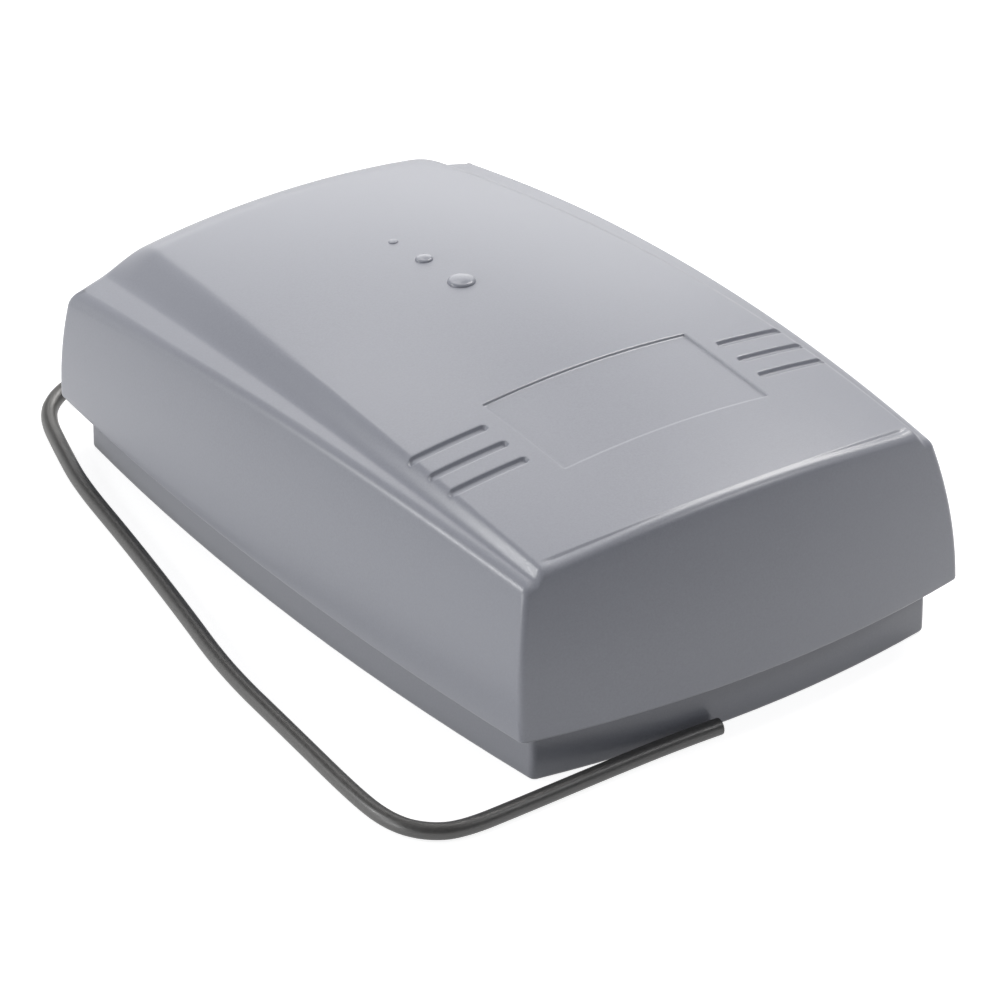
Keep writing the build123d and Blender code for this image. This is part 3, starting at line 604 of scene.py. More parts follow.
class Tree:
    """A node tree that is being built."""

    def __init__(self, tree: bpy.types.NodeTree) -> None:
        """Starts with the tree empty."""
        self.tree = tree
        tree.nodes.clear()

    def put(self, socket: Socket, value: Value) -> None:
        """Links an output to a socket, or sets the socket to a value.

        Args:
            socket: an input.
            value: an output, or a value of the input's kind.
        """
        if isinstance(value, Socket):
            self.tree.links.new(value, socket)
        else:
            socket.default_value = (*value, 1.0) if socket.type == "RGBA" else value

    def node(self, kind: str, settings: dict | None = None, **inputs: Value) -> bpy.types.Node:
        """Adds a node.

        Args:
            kind: the node's Blender type.
            settings: its properties.
            **inputs: values or outputs for its sockets, by socket name with spaces as underscores, or by
                an underscore and the socket's number.

        Returns:
            The node.
        """
        made = self.tree.nodes.new(kind)
        for key, value in (settings or {}).items():
            setattr(made, key, value)
        for key, value in inputs.items():
            name = int(key[1:]) if key[0] == "_" else key.replace("_", " ")
            self.put(made.inputs[name], value)
        return made

    def maths(self, operation: str, first: Value, second: Value) -> Socket:
        """Result of a sum on two numbers."""
        return self.node("ShaderNodeMath", {"operation": operation}, _0=first, _1=second).outputs[0]

    def ramp(self, value: Value, low: float, high: float, first: float, last: float) -> Socket:
        """The value's stretch from low to high carried over to first to last, and held outside it."""
        limits = {"From_Min": low, "From_Max": high, "To_Min": first, "To_Max": last}
        return self.node("ShaderNodeMapRange", None, Value=value, **limits).outputs["Result"]

    def blend(self, share: Value, first: Value, last: Value) -> Socket:
        """Colour between two colours or colour outputs."""
        return self.node("ShaderNodeMix", {"data_type": "RGBA"}, _0=share, _6=first, _7=last).outputs[2]


class Shader(Tree):
    """Builds one material's node tree."""

    def __init__(self, name: str) -> None:
        """Makes an empty material of that name with a principled shader and object coordinates.

        Args:
            name: the material's name.
        """
        self.material = bpy.data.materials.new(name)
        self.material.use_nodes = True
        super().__init__(self.material.node_tree)
        self.surface = self.node("ShaderNodeBsdfPrincipled")
        self.node("ShaderNodeOutputMaterial", None, Surface=self.surface.outputs["BSDF"])
        self.place = self.node("ShaderNodeTexCoord").outputs["Object"]

    def noise(self, size_mm: float, detail: float = 3.0, place: Value = None, **more: Value) -> Socket:
        """Noise from 0 to 1 whose features are about that many millimetres across.

        Args:
            size_mm: size of the features.
            detail: how many finer layers are added.
            place: the coordinates to read, or None for the object's own.
            **more: more inputs of the noise.

        Returns:
            The noise's output.
        """
        where, scale = self.place if place is None else place, 1 / (size_mm * METRES)
        made = self.node("ShaderNodeTexNoise", None, Vector=where, Scale=scale, Detail=detail, **more)
        return made.outputs["Fac"]

    def bump(self, height: Value, depth_mm: float, under: Value = None) -> Socket:
        """Surface direction over a height from 0 to 1 that stands for so many millimetres.

        Args:
            height: the height's output.
            depth_mm: what a height of 1 stands for.
            under: a surface direction to start from.

        Returns:
            The direction's output.
        """
        lower, depth = {} if under is None else {"Normal": under}, depth_mm * METRES
        made = self.node("ShaderNodeBump", None, Height=height, Strength=1.0, Distance=depth, **lower)
        return made.outputs["Normal"]

    def set(self, **inputs: Value) -> None:
        """Sets sockets of the principled shader."""
        for key, value in inputs.items():
            self.put(self.surface.inputs[key.replace("_", " ")], value)


def shade(colour: Colour, factor: float) -> Colour:
    """A colour made darker or lighter by a factor."""
    return tuple(min(1.0, part * factor) for part in colour)


@dataclass(frozen=True)
class Moulded:
    """Moulded plastic or rubber: even colour, a fine spark-eroded grain, faint flow marks."""

    name: str
    colour: Colour
    roughness: float = 0.5
    grain_mm: float = 0.28
    grain_depth: float = 0.006
    mottle: float = 0.06
    coat: float = 0.0
    specular: float = 0.5
    spread: float = 0.06
    flow_mm: float = 26.0

    def make(self) -> bpy.types.Material:
        """Builds the material.

        Returns:
            The material.
        """
        s = Shader(self.name)
        fine = s.noise(self.grain_mm, 2.0, Roughness=0.6)
        dark, light = shade(self.colour, 1 - self.mottle), shade(self.colour, 1 + self.mottle)
        grained = s.blend(s.ramp(fine, 0.3, 0.7, 0.0, 1.0), dark, light)
        flow = s.ramp(s.noise(self.flow_mm, 2.0), 0.35, 0.65, 0.0, 0.35)
        rough = s.ramp(fine, 0.25, 0.75, self.roughness - self.spread, self.roughness + self.spread)
        s.set(Base_Color=s.blend(flow, grained, light), Roughness=rough)
        s.set(Specular_IOR_Level=self.specular, Coat_Weight=self.coat, Coat_Roughness=0.25)
        pits = s.bump(s.noise(self.grain_mm * 0.45, 1.0), self.grain_depth * 0.4)
        s.set(Normal=s.bump(fine, self.grain_depth, pits))
        return s.material


@dataclass(frozen=True)
class Metal:
    """Plated or drawn metal: fine scratches along one direction, duller patches."""

    name: str
    colour: Colour
    roughness: float = 0.3
    stretch: Point = (1.0, 1.0, 6.0)
    scratch_mm: float = 0.5
    scratch_depth: float = 0.002
    patch_mm: float = 1.8
    tarnish: Colour = (0.42, 0.40, 0.37)
    tarnished: float = 0.12

    def make(self) -> bpy.types.Material:
        """Builds the material.

        Returns:
            The material.
        """
        s = Shader(self.name)
        along = s.node("ShaderNodeMapping", None, Vector=s.place, Scale=self.stretch).outputs["Vector"]
        lines = s.noise(self.scratch_mm, 4.0, along)
        patches = s.ramp(s.noise(self.patch_mm, 4.0), 0.45, 0.75, 0.0, self.tarnished)
        s.set(Base_Color=s.blend(patches, self.colour, self.tarnish), Metallic=1.0)
        s.set(Roughness=s.ramp(lines, 0.3, 0.7, self.roughness - 0.08, self.roughness + 0.12))
        s.set(Normal=s.bump(lines, self.scratch_depth))
        return s.material


@dataclass(frozen=True)
class Clear:
    """Clear or tinted glass or lens plastic, with faint waves."""

    name: str
    colour: Colour
    roughness: float = 0.04
    transmission: float = 1.0
    ior: float = 1.5
    wave_mm: float = 3.0
    wave_depth: float = 0.004

    def make(self) -> bpy.types.Material:
        """Builds the material.

        Returns:
            The material.
        """
        s = Shader(self.name)
        waves = s.noise(self.wave_mm, 1.0)
        s.set(Base_Color=s.blend(waves, shade(self.colour, 0.92), self.colour), IOR=self.ior)
        s.set(Roughness=self.roughness, Transmission_Weight=self.transmission)
        s.set(Normal=s.bump(waves, self.wave_depth))
        return s.material


CASE_GREY = Moulded(
    "case_grey", (0.30, 0.31, 0.35),
    roughness=0.34, grain_mm=0.26, grain_depth=0.009, mottle=0.05, specular=0.7,
)


# The cover


@dataclass(frozen=True)
class Dome:
    """A flat lens-shaped boss on the panel: a low crown inside a quarter-round edge."""

    y: float
    radius: float
    rise: float
    edge_share: float = 0.8
    root: float = 0.6

    def profile(self) -> Pair:
        """Radii, and heights above the panel, from the root in the panel to beside the middle.

        Returns:
            The radii and the heights, from the outside to beside the middle.
        """
        edge = self.edge_share * self.rise
        flat = self.radius - edge
        angle = np.linspace(0, QUARTER, 9)
        share = np.linspace(1.0, 0.0, 7)[1:-1]
        crown = (1 - self.edge_share) * self.rise * (1 - share**2)
        radius = np.concatenate([[self.radius], flat + edge * np.cos(angle), flat * share])
        return radius, np.concatenate([[-self.root], edge * np.sin(angle), edge + crown])


@dataclass
class TopCover:
    """The upper shell: a thin skin with rounded edges, a bare recess, six grooves and rest ribs.

    The recess is given by its half width and its front and rear y. The ribs' size is their thickness,
    lower end and upper end, and rib_from is how far from the middle those on the side walls and those
    on the end walls start.
    """

    form: CaseForm = field(default_factory=CaseForm)
    recess: Point = (15.2, -35.05, -18.05)
    recess_depth: float = 0.27
    recess_blend: float = 0.1
    grooves: Point = (-22.1, -26.4, -30.6)
    groove_inner_x: float = 17.4
    groove_reach: float = 10.8
    groove_half_width: float = 0.65
    groove_depth: float = 0.5
    groove_blend: tuple[float, float] = (-0.07, 0.17)
    crease_away: float = 1.62
    crease_half_width: float = 0.55
    crease_depth: float = 0.22
    crease_fades: tuple[float, float] = (25.5, 28.0)
    ridge_height: float = 20.0
    edge_radii: tuple[float, float] = (1.05, 1.6)
    edge_softens: tuple[float, float] = (20.0, 50.0)
    edge_height: float = 18.5
    rim_rounding: float = 0.4
    side_length: float = 97.0
    core_half: tuple[float, float] = (17.0, 40.0)
    outer_x: float = 33.3
    rib_rows: Point = (-30.0, 0.0, 30.0)
    rib_columns: tuple[float, float] = (-17.0, 17.0)
    rib_size: Point = (1.5, 9.45, 14.05)
    rib_from: tuple[float, float] = (28.44, 48.3)
    rib_sunk: float = 0.6
    rib_rounding: float = 0.3
    half_length: float = 50.0
    domes: tuple[Dome, ...] = (Dome(23.15, 0.62, 0.24), Dome(16.27, 1.15, 0.42), Dome(8.06, 1.8, 0.5))

    def groove_rows(self) -> Array:
        """Row places across one groove, closest at its two edges."""
        side = self.groove_half_width - np.array([-0.07, -0.01, 0.03, 0.07, 0.11, 0.17, 0.36])
        return np.concatenate([-side, [0.0], side[::-1]])

    def grid(self) -> TopGrid:
        """The top's grid: 0.6 to 0.9 mm on plain stretches, and lines along every edge on it.

        The rows through a groove lie 1.004, about 1 / cos of its turn, times as far apart as across it.

        Returns:
            The grid.
        """
        half, front, rear = self.recess
        core_x, core_y = self.core_half
        edge = self.recess_blend * np.array([-1.0, -0.6, -0.2, 0.2, 0.6, 1.0])
        margin = np.array([15.7, 16.2, core_x])
        across = [-margin[::-1], edge - half, steps(-half + 0.6, half - 0.6, 0.9), half + edge, margin]
        lean = math.tan(GROOVE_TURN) * (self.groove_inner_x - core_x)
        rows, last = [steps(-core_y, front - 0.4, 0.8), front + edge], front + 0.45
        for mark in sorted(self.grooves):
            band = mark - lean + self.groove_rows() * 1.004
            rows += [steps(last, band[0] - 0.25, 0.75), band]
            last = band[-1] + 0.25
        rows += [steps(last, rear - 0.45, 0.75), rear + edge, steps(rear + 0.45, core_y, 0.85)]
        beyond = np.concatenate([
            steps(17.3, 17.66, 0.06), steps(17.76, 18.26, 0.1), steps(18.6, 27.0, 0.6),
            steps(27.15, 28.5, 0.09), steps(28.7, self.outer_x, 0.2),
        ])
        return TopGrid(
            core_x=np.concatenate(across),
            core_y=np.concatenate(rows),
            beyond_x=(beyond - core_x) / (self.outer_x - core_x),
            beyond_front=np.concatenate([steps(0.0, 0.66, 0.06)[1:], steps(0.68, 1.0, 0.011)]),
            beyond_rear=np.concatenate([steps(0.0, 0.72, 0.06)[1:], steps(0.76, 1.0, 0.03)]),
        )

    def groove_cut(self, x: Array, y: Array) -> Array:
        """How far the grooves lower the top.

        Each groove is a slot of even depth with round ends, turned by GROOVE_TURN. The depth follows an
        S curve a quarter of a millimetre wide at its edge, so that the lips are rounded.

        Args:
            x: places across.
            y: places along.

        Returns:
            Depths at those places, 0 outside the grooves.
        """
        cut = np.zeros_like(x)
        cos, sin = math.cos(GROOVE_TURN), math.sin(GROOVE_TURN)
        half, away = self.groove_half_width, np.abs(x) - self.groove_inner_x
        for mark in self.grooves:
            along = away * cos + (y - mark) * sin
            across = np.abs((y - mark) * cos - away * sin)
            beyond = np.maximum(np.maximum(half - along, along - self.groove_reach + half), 0.0)
            inside = half - np.hypot(beyond, across)
            cut = np.maximum(cut, self.groove_depth * smooth(*self.groove_blend, inside))
        return cut

    def recess_cut(self, x: Array, y: Array) -> Array:
        """How far the bare recess lowers the top: its depth, with S-shaped walls all round.

        Args:
            x: places across.
            y: places along.

        Returns:
            Depths at those places, 0 outside the recess.
        """
        half, front, rear = self.recess
        w = self.recess_blend
        across = 1 - smooth(half - w, half + w, np.abs(x))
        along = smooth(front - w, front + w, y) * (1 - smooth(rear - w, rear + w, y))
        return self.recess_depth * across * along

    def crease_cut(self, x: Array, y: Array) -> Array:
        """How far the shallow crease behind the front ridge lowers the top.

        The crease follows the front edge's bow at a set distance, with a round cross-section
        depth * (1 - t^2)^2 for t from -1 to 1 across it, and fades out at the shoulders.

        Args:
            x: places across.
            y: places along.

        Returns:
            Depths at those places, 0 beside the crease.
        """
        front = self.form.walls(np.array(self.ridge_height), 0.0)
        edge_y = front.front_y - front.front_bow * (1 - (x / front.half_x) ** 2)
        t = np.clip((y - edge_y - self.crease_away) / self.crease_half_width, -1.0, 1.0)
        return self.crease_depth * (1 - t**2) ** 2 * (1 - smooth(*self.crease_fades, np.abs(x)))

    def surface(self, x: Array, y: Array) -> Array:
        """Height of the top with everything cut into it."""
        return self.form.top(x, y) - self.recess_cut(x, y) - self.groove_cut(x, y) - self.crease_cut(x, y)

    def wall_place(self, parts: Array, shares: Array, height: Array, inset: float) -> Pair:
        """Points on the wall at a height above the rim, and their outward directions.

        Args:
            parts: Part of each point.
            shares: how far along its part each point is.
            height: one height for all points, or one for each.
            inset: how far the wall is moved in.

        Returns:
            Points, N x 3, and directions, N x 2.
        """
        spot, away = self.form.walls(height, inset).place(parts, shares)
        z = np.broadcast_to(self.form.rim_z + height, parts.shape)[:, None]
        return np.hstack([spot, z]), away

    def top_of_wall(self, parts: Array, shares: Array, inset: float) -> Array:
        """Height above the rim at which the wall meets the top, both moved in by the inset.

        It is found by putting each into the other six times, from a usual height.

        Args:
            parts: Part of each point.
            shares: how far along its part each point is.
            inset: how far both are moved in.

        Returns:
            A height for each point.
        """
        height = np.full(len(parts), 19.0)
        for _ in range(6):
            spot, _ = self.wall_place(parts, shares, height, inset)
            height = self.form.top(spot[:, 0], spot[:, 1]) - inset - self.form.rim_z
        return height

    def top_edge(self, parts: Array, shares: Array) -> tuple[Array, ...]:
        """The line where the wall would meet the top, if the edge between them were sharp.

        Args:
            parts: Part of each point.
            shares: how far along its part each point is.

        Returns:
            Its heights above the rim, places and outward directions, the radius of the edge's rounding,
            which is small at the front and softer at the rear, and x and y of the rounding's upper end.
        """
        height = self.top_of_wall(parts, shares, 0.0)
        corner, away = self.wall_place(parts, shares, height, 0.0)
        radius = mix(*self.edge_radii, smooth(*self.edge_softens, corner[:, 1]))
        return height, corner, away, radius, corner[:, :2] - away * radius[:, None]

    def settle(self, grid: TopGrid, parts: Array, shares: Array) -> Array:
        """Shares moved along the sides until each row runs straight out beside the grooves.

        Each of the five steps moves a row's end by what is left over the length of the side.

        Args:
            grid: the top's grid.
            parts: Part of each boundary point.
            shares: how far along its part each is.

        Returns:
            The shares, changed in place.
        """
        for _ in range(5):
            edge = self.top_edge(parts, shares)[-1]
            for ends, sign in zip(grid.row_ends(), (1, -1)):
                goal = grid.ends_y(np.abs(edge[ends, 0]) - grid.core_x[-1])
                shares[ends] += sign * (goal - edge[ends, 1]) / self.side_length
        return shares

    def outer(self, piece: MeshPiece, grid: TopGrid) -> tuple[Array, Array, Array]:
        """Adds the outer skin, and returns its lowest ring with the stations of that ring.

        Args:
            piece: the piece that the skin is added to.
            grid: the top's grid.

        Returns:
            Numbers of the lowest ring's points, and their parts and shares.
        """
        parts, shares = grid.stations(self.form.walls(np.array(self.edge_height), 0.0))
        shares = self.settle(grid, parts, shares)
        height, corner, away, radius, edge = self.top_edge(parts, shares)
        x, y = grid.fill(edge)
        top = piece.block(np.stack([x, y, self.surface(x, y)], axis=-1), grid.faces())
        upper = piece.points[-1][grid.ring()]
        lower, _ = self.wall_place(parts, shares, height - radius, 0.0)
        wall = np.stack([
            self.wall_place(parts, shares, mix(self.rim_rounding, height - radius, level), 0.0)[0]
            for level in np.linspace(0.0, 1.0, 13)[:-1]
        ])
        foot_corner, _ = self.wall_place(parts, shares, np.zeros(len(parts)), 0.0)
        foot = foot_corner.copy()
        foot[:, :2] -= away * self.rim_rounding
        rim_round = bezier(foot, foot_corner, wall[0], 5)[:-1]
        numbers = piece.tube(np.concatenate([rim_round, wall, bezier(lower, corner, upper, 7)[:-1]]))
        piece.bridge(numbers[-1], top[grid.ring()])
        return numbers[0], parts, shares

    def build(self) -> bpy.types.Object:
        """Builds the whole shell: outer skin, rim, inner walls, the ceiling under the top, and ribs.

        Returns:
            The shell, without a material.
        """
        piece, grid = MeshPiece("cover_shell"), self.grid()
        foot, parts, shares = self.outer(piece, grid)
        wall = self.form.cover_wall
        height = self.top_of_wall(parts, shares, wall)
        rows = np.stack([
            self.wall_place(parts, shares, mix(0.0, height, level), wall)[0]
            for level in np.linspace(0.0, 1.0, 8)
        ])
        x, y = grid.fill(rows[-1, :, :2])
        ceiling = piece.block(np.stack([x, y, self.form.top(x, y) - wall], axis=-1), grid.faces()[:, ::-1])
        numbers = piece.tube(rows[:-1], inward=True)
        piece.bridge(numbers[0], foot)
        piece.bridge(ceiling[grid.ring()], numbers[-1])
        self.ribs(piece)
        return piece.build(58.0, Body.COVER, "case_grey", replaces="top_cover")

    def ribs(self, piece: MeshPiece) -> None:
        """Adds the rest ribs inside: three on each side wall and two on each end wall.

        Args:
            piece: the piece that the ribs are added to.
        """
        thick, low, high = self.rib_size
        side_from, end_from = self.rib_from
        walls = self.form.walls(np.array(2.0), self.form.cover_wall)
        middle, tall = (low + high) / 2, high - low
        for sign in (-1, 1):
            for y in self.rib_rows:
                bow = walls.side_bow * (1 - (y / self.half_length) ** 2)
                outer = float(walls.half_x + bow) + self.rib_sunk
                points, faces = rounded_block((outer - side_from, thick, tall), self.rib_rounding)
                piece.block(points + (sign * (outer + side_from) / 2, y, middle), faces)
            for x in self.rib_columns:
                bow = walls.rear_bow * (1 - (x / walls.half_x) ** 2)
                outer = float(walls.rear_y + bow) + self.rib_sunk
                points, faces = rounded_block((thick, outer - end_from, tall), self.rib_rounding)
                piece.block(points + (x, sign * (outer + end_from) / 2, middle), faces)

    def build_domes(self) -> bpy.types.Object:
        """Builds the three bosses, each turned about its middle.

        Returns:
            The bosses as one object, without a material.
        """
        piece, turn = MeshPiece("panel_domes"), turns(48)
        for dome in self.domes:
            radius, lift = dome.profile()
            x = radius[:, None] * np.cos(turn)
            y = dome.y + radius[:, None] * np.sin(turn)
            numbers = piece.tube(np.stack([x, y, self.form.top(x, y) + lift[:, None]], axis=-1))
            level = float(self.form.top(np.array(0.0), np.array(dome.y)))
            for ring, z, order in ((numbers[-1], level + dome.rise, 1), (numbers[0], level - dome.root, -1)):
                centre = piece.block([[0.0, dome.y, z]], np.zeros((0, 3), int))
                fan = np.stack([ring, np.roll(ring, -1), np.full(len(ring), centre[0])], axis=-1)
                piece.join(fan[:, ::order])
        return piece.build(35.0, Body.COVER, "case_grey")


# The aerial


@dataclass
class Aerial:
    """The limp insulated wire: it leaves the rear wall, drops to the table, and lies round two sides.

    The tip of a strand is given by its radii, as shares of the strand's, and how far out each is.
    """

    radius: float = 1.08
    strand: float = 0.17
    strand_pitch: float = 2.03
    strand_tip: tuple[tuple[float, float], ...] = ((1.0, -0.3), (1.0, 0.05), (0.7, 0.1), (0.05, 0.12))
    length: float = 175.6
    route: tuple[Point, ...] = (
        (-18.0, 51.4, 4.3), (-18.0, 55.4, 4.3), (-20.0, 59.0, 3.7), (-23.7, 60.8, 2.8), (-28.3, 60.1, 1.9),
        (-31.8, 56.9, 1.3), (-34.4, 49.0, 1.1), (-37.2, 40.0, 1.1), (-39.8, 25.0, 1.1), (-43.3, 7.2, 1.1),
        (-46.7, -8.2, 1.1), (-48.1, -24.1, 1.1), (-49.8, -41.9, 1.1), (-49.4, -48.2, 1.1),
        (-47.3, -51.9, 1.1), (-43.6, -54.0, 1.1), (-34.5, -53.8, 1.1), (-20.0, -53.25, 1.1),
        (-10.5, -53.1, 1.1), (-5.1, -53.33, 1.1),
    )

    def build(self) -> tuple[bpy.types.Object, bpy.types.Object]:
        """Builds the wire as one open spline with the route as its control points, and its bare core.

        The points' radius carries the change to metres, so that the bevel's depth stays in millimetres.

        Returns:
            The wire and the core.
        """
        line = bpy.data.curves.new("aerial_sheath", "CURVE")
        line.dimensions = "3D"
        line.bevel_depth = self.radius
        line.bevel_resolution = 7
        line.resolution_u = 16
        line.use_fill_caps = True
        spline = line.splines.new("NURBS")
        spline.points.add(len(self.route) - 1)
        points = np.hstack([np.array(self.route) * METRES, np.ones((len(self.route), 1))])
        spline.points.foreach_set("co", points.ravel())
        spline.points.foreach_set("radius", np.full(len(self.route), METRES))
        spline.order_u = 3
        spline.use_endpoint_u = True
        made = bpy.data.objects.new("aerial_sheath", line)
        bpy.context.scene.collection.objects.link(made)
        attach(made, Body.BASE.value)
        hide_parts("aerial_wire")
        core = self.build_core()
        return made, core

    def build_core(self) -> bpy.types.Object:
        """Builds the seven copper strands that show at the cut end: six round one, each with a domed tip.

        Returns:
            The strands as one object, without a material.
        """
        piece, turn = MeshPiece("aerial_strands"), turns(12)[:, None]
        tip, before = np.array(self.route[-1]), np.array(self.route[-2])
        ahead = (tip - before) / np.linalg.norm(tip - before)
        across = np.cross(ahead, (0.0, 0.0, 1.0))
        up = np.cross(across, ahead)
        for k in range(7):
            off = 0.0 if k == 6 else self.strand_pitch * self.strand
            angle = k * math.pi / 3
            middle = tip + off * (math.cos(angle) * across + math.sin(angle) * up)
            numbers = piece.tube(np.stack([
                middle + out * ahead + share * self.strand * (np.cos(turn) * across + np.sin(turn) * up)
                for share, out in self.strand_tip
            ]), inward=True)
            piece.join(numbers[-1:, ::-1])
            piece.join(numbers[:1])
        return piece.build(50.0, Body.BASE, "copper")


# The circuit board


def ribbon(path: Array, width: float, closed: bool = False) -> Pair:
    """A flat strip of even width along a path of straight runs, mitred at its corners.

    Each corner's point moves out along the bisector of its two runs' normals by
    width / 2 / cos(half the turn), with the cosine held at 0.35 or more.

    Args:
        path: places, N x 2.
        width: the strip's width.
        closed: whether the last place joins the first.

    Returns:
        Points, 2N x 2, left side first, and faces that look up.
    """
    count = len(path)
    ahead = np.roll(path, -1, axis=0) - path
    if not closed:
        ahead[-1] = ahead[-2]
    ahead /= np.linalg.norm(ahead, axis=1)[:, None]
    behind = np.roll(ahead, 1, axis=0)
    if not closed:
        behind[0] = ahead[0]
    normal = np.stack([-(ahead + behind)[:, 1], (ahead + behind)[:, 0]], axis=-1)
    normal /= np.linalg.norm(normal, axis=1)[:, None]
    side = np.stack([-ahead[:, 1], ahead[:, 0]], axis=-1)
    out = normal * (width / 2 / np.maximum((normal * side).sum(axis=1), 0.35))[:, None]
    first = np.arange(count if closed else count - 1)
    second = (first + 1) % count
    faces = np.stack([first, first + count, second + count, second], axis=-1)
    return np.concatenate([path + out, path - out]), faces


def dogleg(start: tuple[float, float], end: tuple[float, float]) -> Array:
    """A track between two places: straight, then at 45 degrees for the shorter distance, then straight.

    The two inner places are moved by a ten-thousandth of a millimetre, so that no run is without length.

    Args:
        start: x and y of one end.
        end: x and y of the other.

    Returns:
        The four places, 4 x 2.
    """
    a, b = np.array(start, float), np.array(end, float)
    gap = b - a
    slant = np.sign(gap) * np.abs(gap).min()
    run = (gap - slant) / 2
    return np.array([a, a + run + (1e-4, 0), a + run + slant + (0, 1e-4), b])


def disc(middle: tuple[float, float], radius: float, hole: float, sides: int = 20) -> Pair:
    """A flat ring about a place, and its faces, which look up.

    Args:
        middle: x and y of its middle.
        radius: outer radius.
        hole: inner radius.
        sides: places round it.

    Returns:
        Points, the inner ones first, and faces.
    """
    circle = np.stack([np.cos(turns(sides)), np.sin(turns(sides))], axis=-1)
    near = np.arange(sides)
    far = np.roll(near, -1)
    faces = np.stack([near, near + sides, far + sides, far], axis=-1)
    return np.concatenate([hole * circle, radius * circle]) + np.array(middle), faces


@dataclass(frozen=True)
class Can:
    """An upright capacitor can: its place on the board, radius and height."""

    x: float
    y: float
    radius: float
    height: float


@dataclass(frozen=True)
class Chips:
    """Chip parts of one size, length x width x height, at several places."""

    places: tuple[tuple[float, float], ...]
    size: Point


@dataclass
class BoardDress:
    """What lies on the circuit board and on its parts, down to the chips' ends and the cans' tops.

    A track is given by its two ends and its width. Each kind of sheet stands off the board by its lift.
    A chip's tinned end has a share of the chip's length, and lies another share of it off the chip's
    middle. It is wider and higher than the chip, and further out.
    """

    top: float = 6.2
    sunk: float = 0.01
    track_lift: float = 0.02
    ring_lift: float = 0.035
    print_lift: float = 0.05
    ring_hole: float = 0.22
    ring_width: float = 0.32
    print_width: float = 0.2
    print_clear: float = 0.45
    print_corner: float = 0.7
    round_clear: tuple[float, float] = (0.55, 0.75)
    tracks: tuple[tuple[tuple[float, float], tuple[float, float], float], ...] = (
        ((-12.6, 32.0), (-20.5, 26.0), 0.5), ((-17.6, 32.0), (-22.0, 22.0), 0.5),
        ((-24.5, 28.0), (-24.5, -20.0), 0.9), ((-22.8, 14.0), (-20.8, -3.0), 0.4),
        ((-17.5, 1.0), (-18.5, -22.5), 0.4), ((-16.3, 2.0), (-17.0, -1.0), 0.4),
        ((-12.8, -4.0), (-6.4, -7.0), 0.35), ((-12.8, -7.0), (-6.4, -10.0), 0.35),
        ((-12.8, -10.0), (-6.4, -13.0), 0.35), ((-17.2, -13.0), (-21.5, -24.5), 0.4),
        ((-12.6, -16.0), (-5.0, -23.5), 0.4), ((-21.5, -31.5), (-20.0, -36.0), 0.4),
        ((-12.0, -31.5), (-10.3, -35.2), 0.4), ((-5.0, -31.0), (-2.0, -36.6), 0.4),
        ((-1.2, -24.5), (-4.0, -21.0), 0.4), ((1.2, -24.8), (1.2, -18.2), 0.4),
        ((3.8, -24.8), (6.4, -18.0), 0.4), ((5.4, -33.0), (9.4, -31.0), 0.4),
        ((10.2, -37.0), (16.8, -36.2), 0.4), ((6.2, -37.0), (5.8, -37.0), 0.4),
        ((24.6, -34.0), (24.6, 8.0), 1.7), ((17.7, 32.5), (24.0, 12.0), 1.7),
        ((8.6, -8.0), (12.4, -4.0), 1.1), ((-1.6, -12.0), (-3.0, -17.0), 0.9),
        ((8.0, -13.5), (9.6, -17.5), 0.9), ((-10.5, -12.0), (-10.5, -16.2), 0.35),
        ((-1.0, 9.2), (5.5, 6.0), 0.4), ((7.2, 9.2), (11.0, 4.5), 0.4),
        ((14.0, 4.5), (21.5, 8.2), 0.9), ((14.0, 1.5), (14.6, -6.6), 0.6),
    )
    outlines: tuple[str, ...] = (
        "relay_1", "relay_2", "microcontroller", "memory_chip", "crystal", "rectifier", "voltage_regulator",
        "varistor", "trimmer_body", "dip_switch_body", "power_terminal_block", "aerial_terminal_block",
    )
    cans: tuple[Can, ...] = (Can(19.5, -1.5, 5.0, 14.0), Can(13.5, -11.0, 3.15, 9.0))
    chips: tuple[Chips, ...] = (
        Chips((
            (-15, -4), (-15, -7), (-15, -10), (-15, -13), (-15, -16), (-3.5, -7), (-3.5, -10), (-3.5, -13),
            (0, -37), (4, -37), (8, -37),
        ), (3.2, 1.6, 0.55)),
        Chips((
            (12.5, 4.5), (12.5, 1.5), (-13.5, 10), (-13.5, 13), (-13.5, 16), (16.5, -27), (4, -18),
        ), (2.0, 1.25, 0.9)),
    )
    end_share: float = 0.16
    end_at: float = 0.42
    end_proud: tuple[float, float] = (0.05, 0.02)
    end_rounding: float = 0.09
    stripe_proud: float = 0.03
    can_rim: float = 0.75
    can_skirt: float = 0.06
    dish_depth: float = 0.06
    dish_rise: float = 0.11
    score_depth: float = 0.08
    score_edges: tuple[float, float] = (0.08, 0.3)
    score_reach: float = 0.93
    stripe_angles: tuple[float, float] = (195.0, 245.0)
    stripe_heights: tuple[float, float] = (0.24, 0.9)

    def lay(self, piece: MeshPiece, flat: Array, faces: Array, lift: float) -> None:
        """Adds a flat sheet whose upper side is lifted off the board and whose lower side is in it.

        Args:
            piece: the piece that it is added to.
            flat: x and y of its points.
            faces: faces that look up.
            lift: height of its upper side above the board.
        """
        upper = np.hstack([flat, np.full((len(flat), 1), self.top + lift)])
        piece.slab(upper, faces, np.array([0, 0, -lift - self.sunk]))

    def finish(self, piece: MeshPiece, slot: str) -> bpy.types.Object:
        """Makes the object, which rides on the tray's body."""
        return piece.build(50.0, Body.BASE, slot)

    def build_tracks(self) -> bpy.types.Object:
        """Builds the copper tracks under the green mask.

        Returns:
            The tracks as one object, without a material.
        """
        piece = MeshPiece("board_tracks")
        for start, end, width in self.tracks:
            self.lay(piece, *ribbon(dogleg(start, end), width), self.track_lift)
        return self.finish(piece, "board_green")

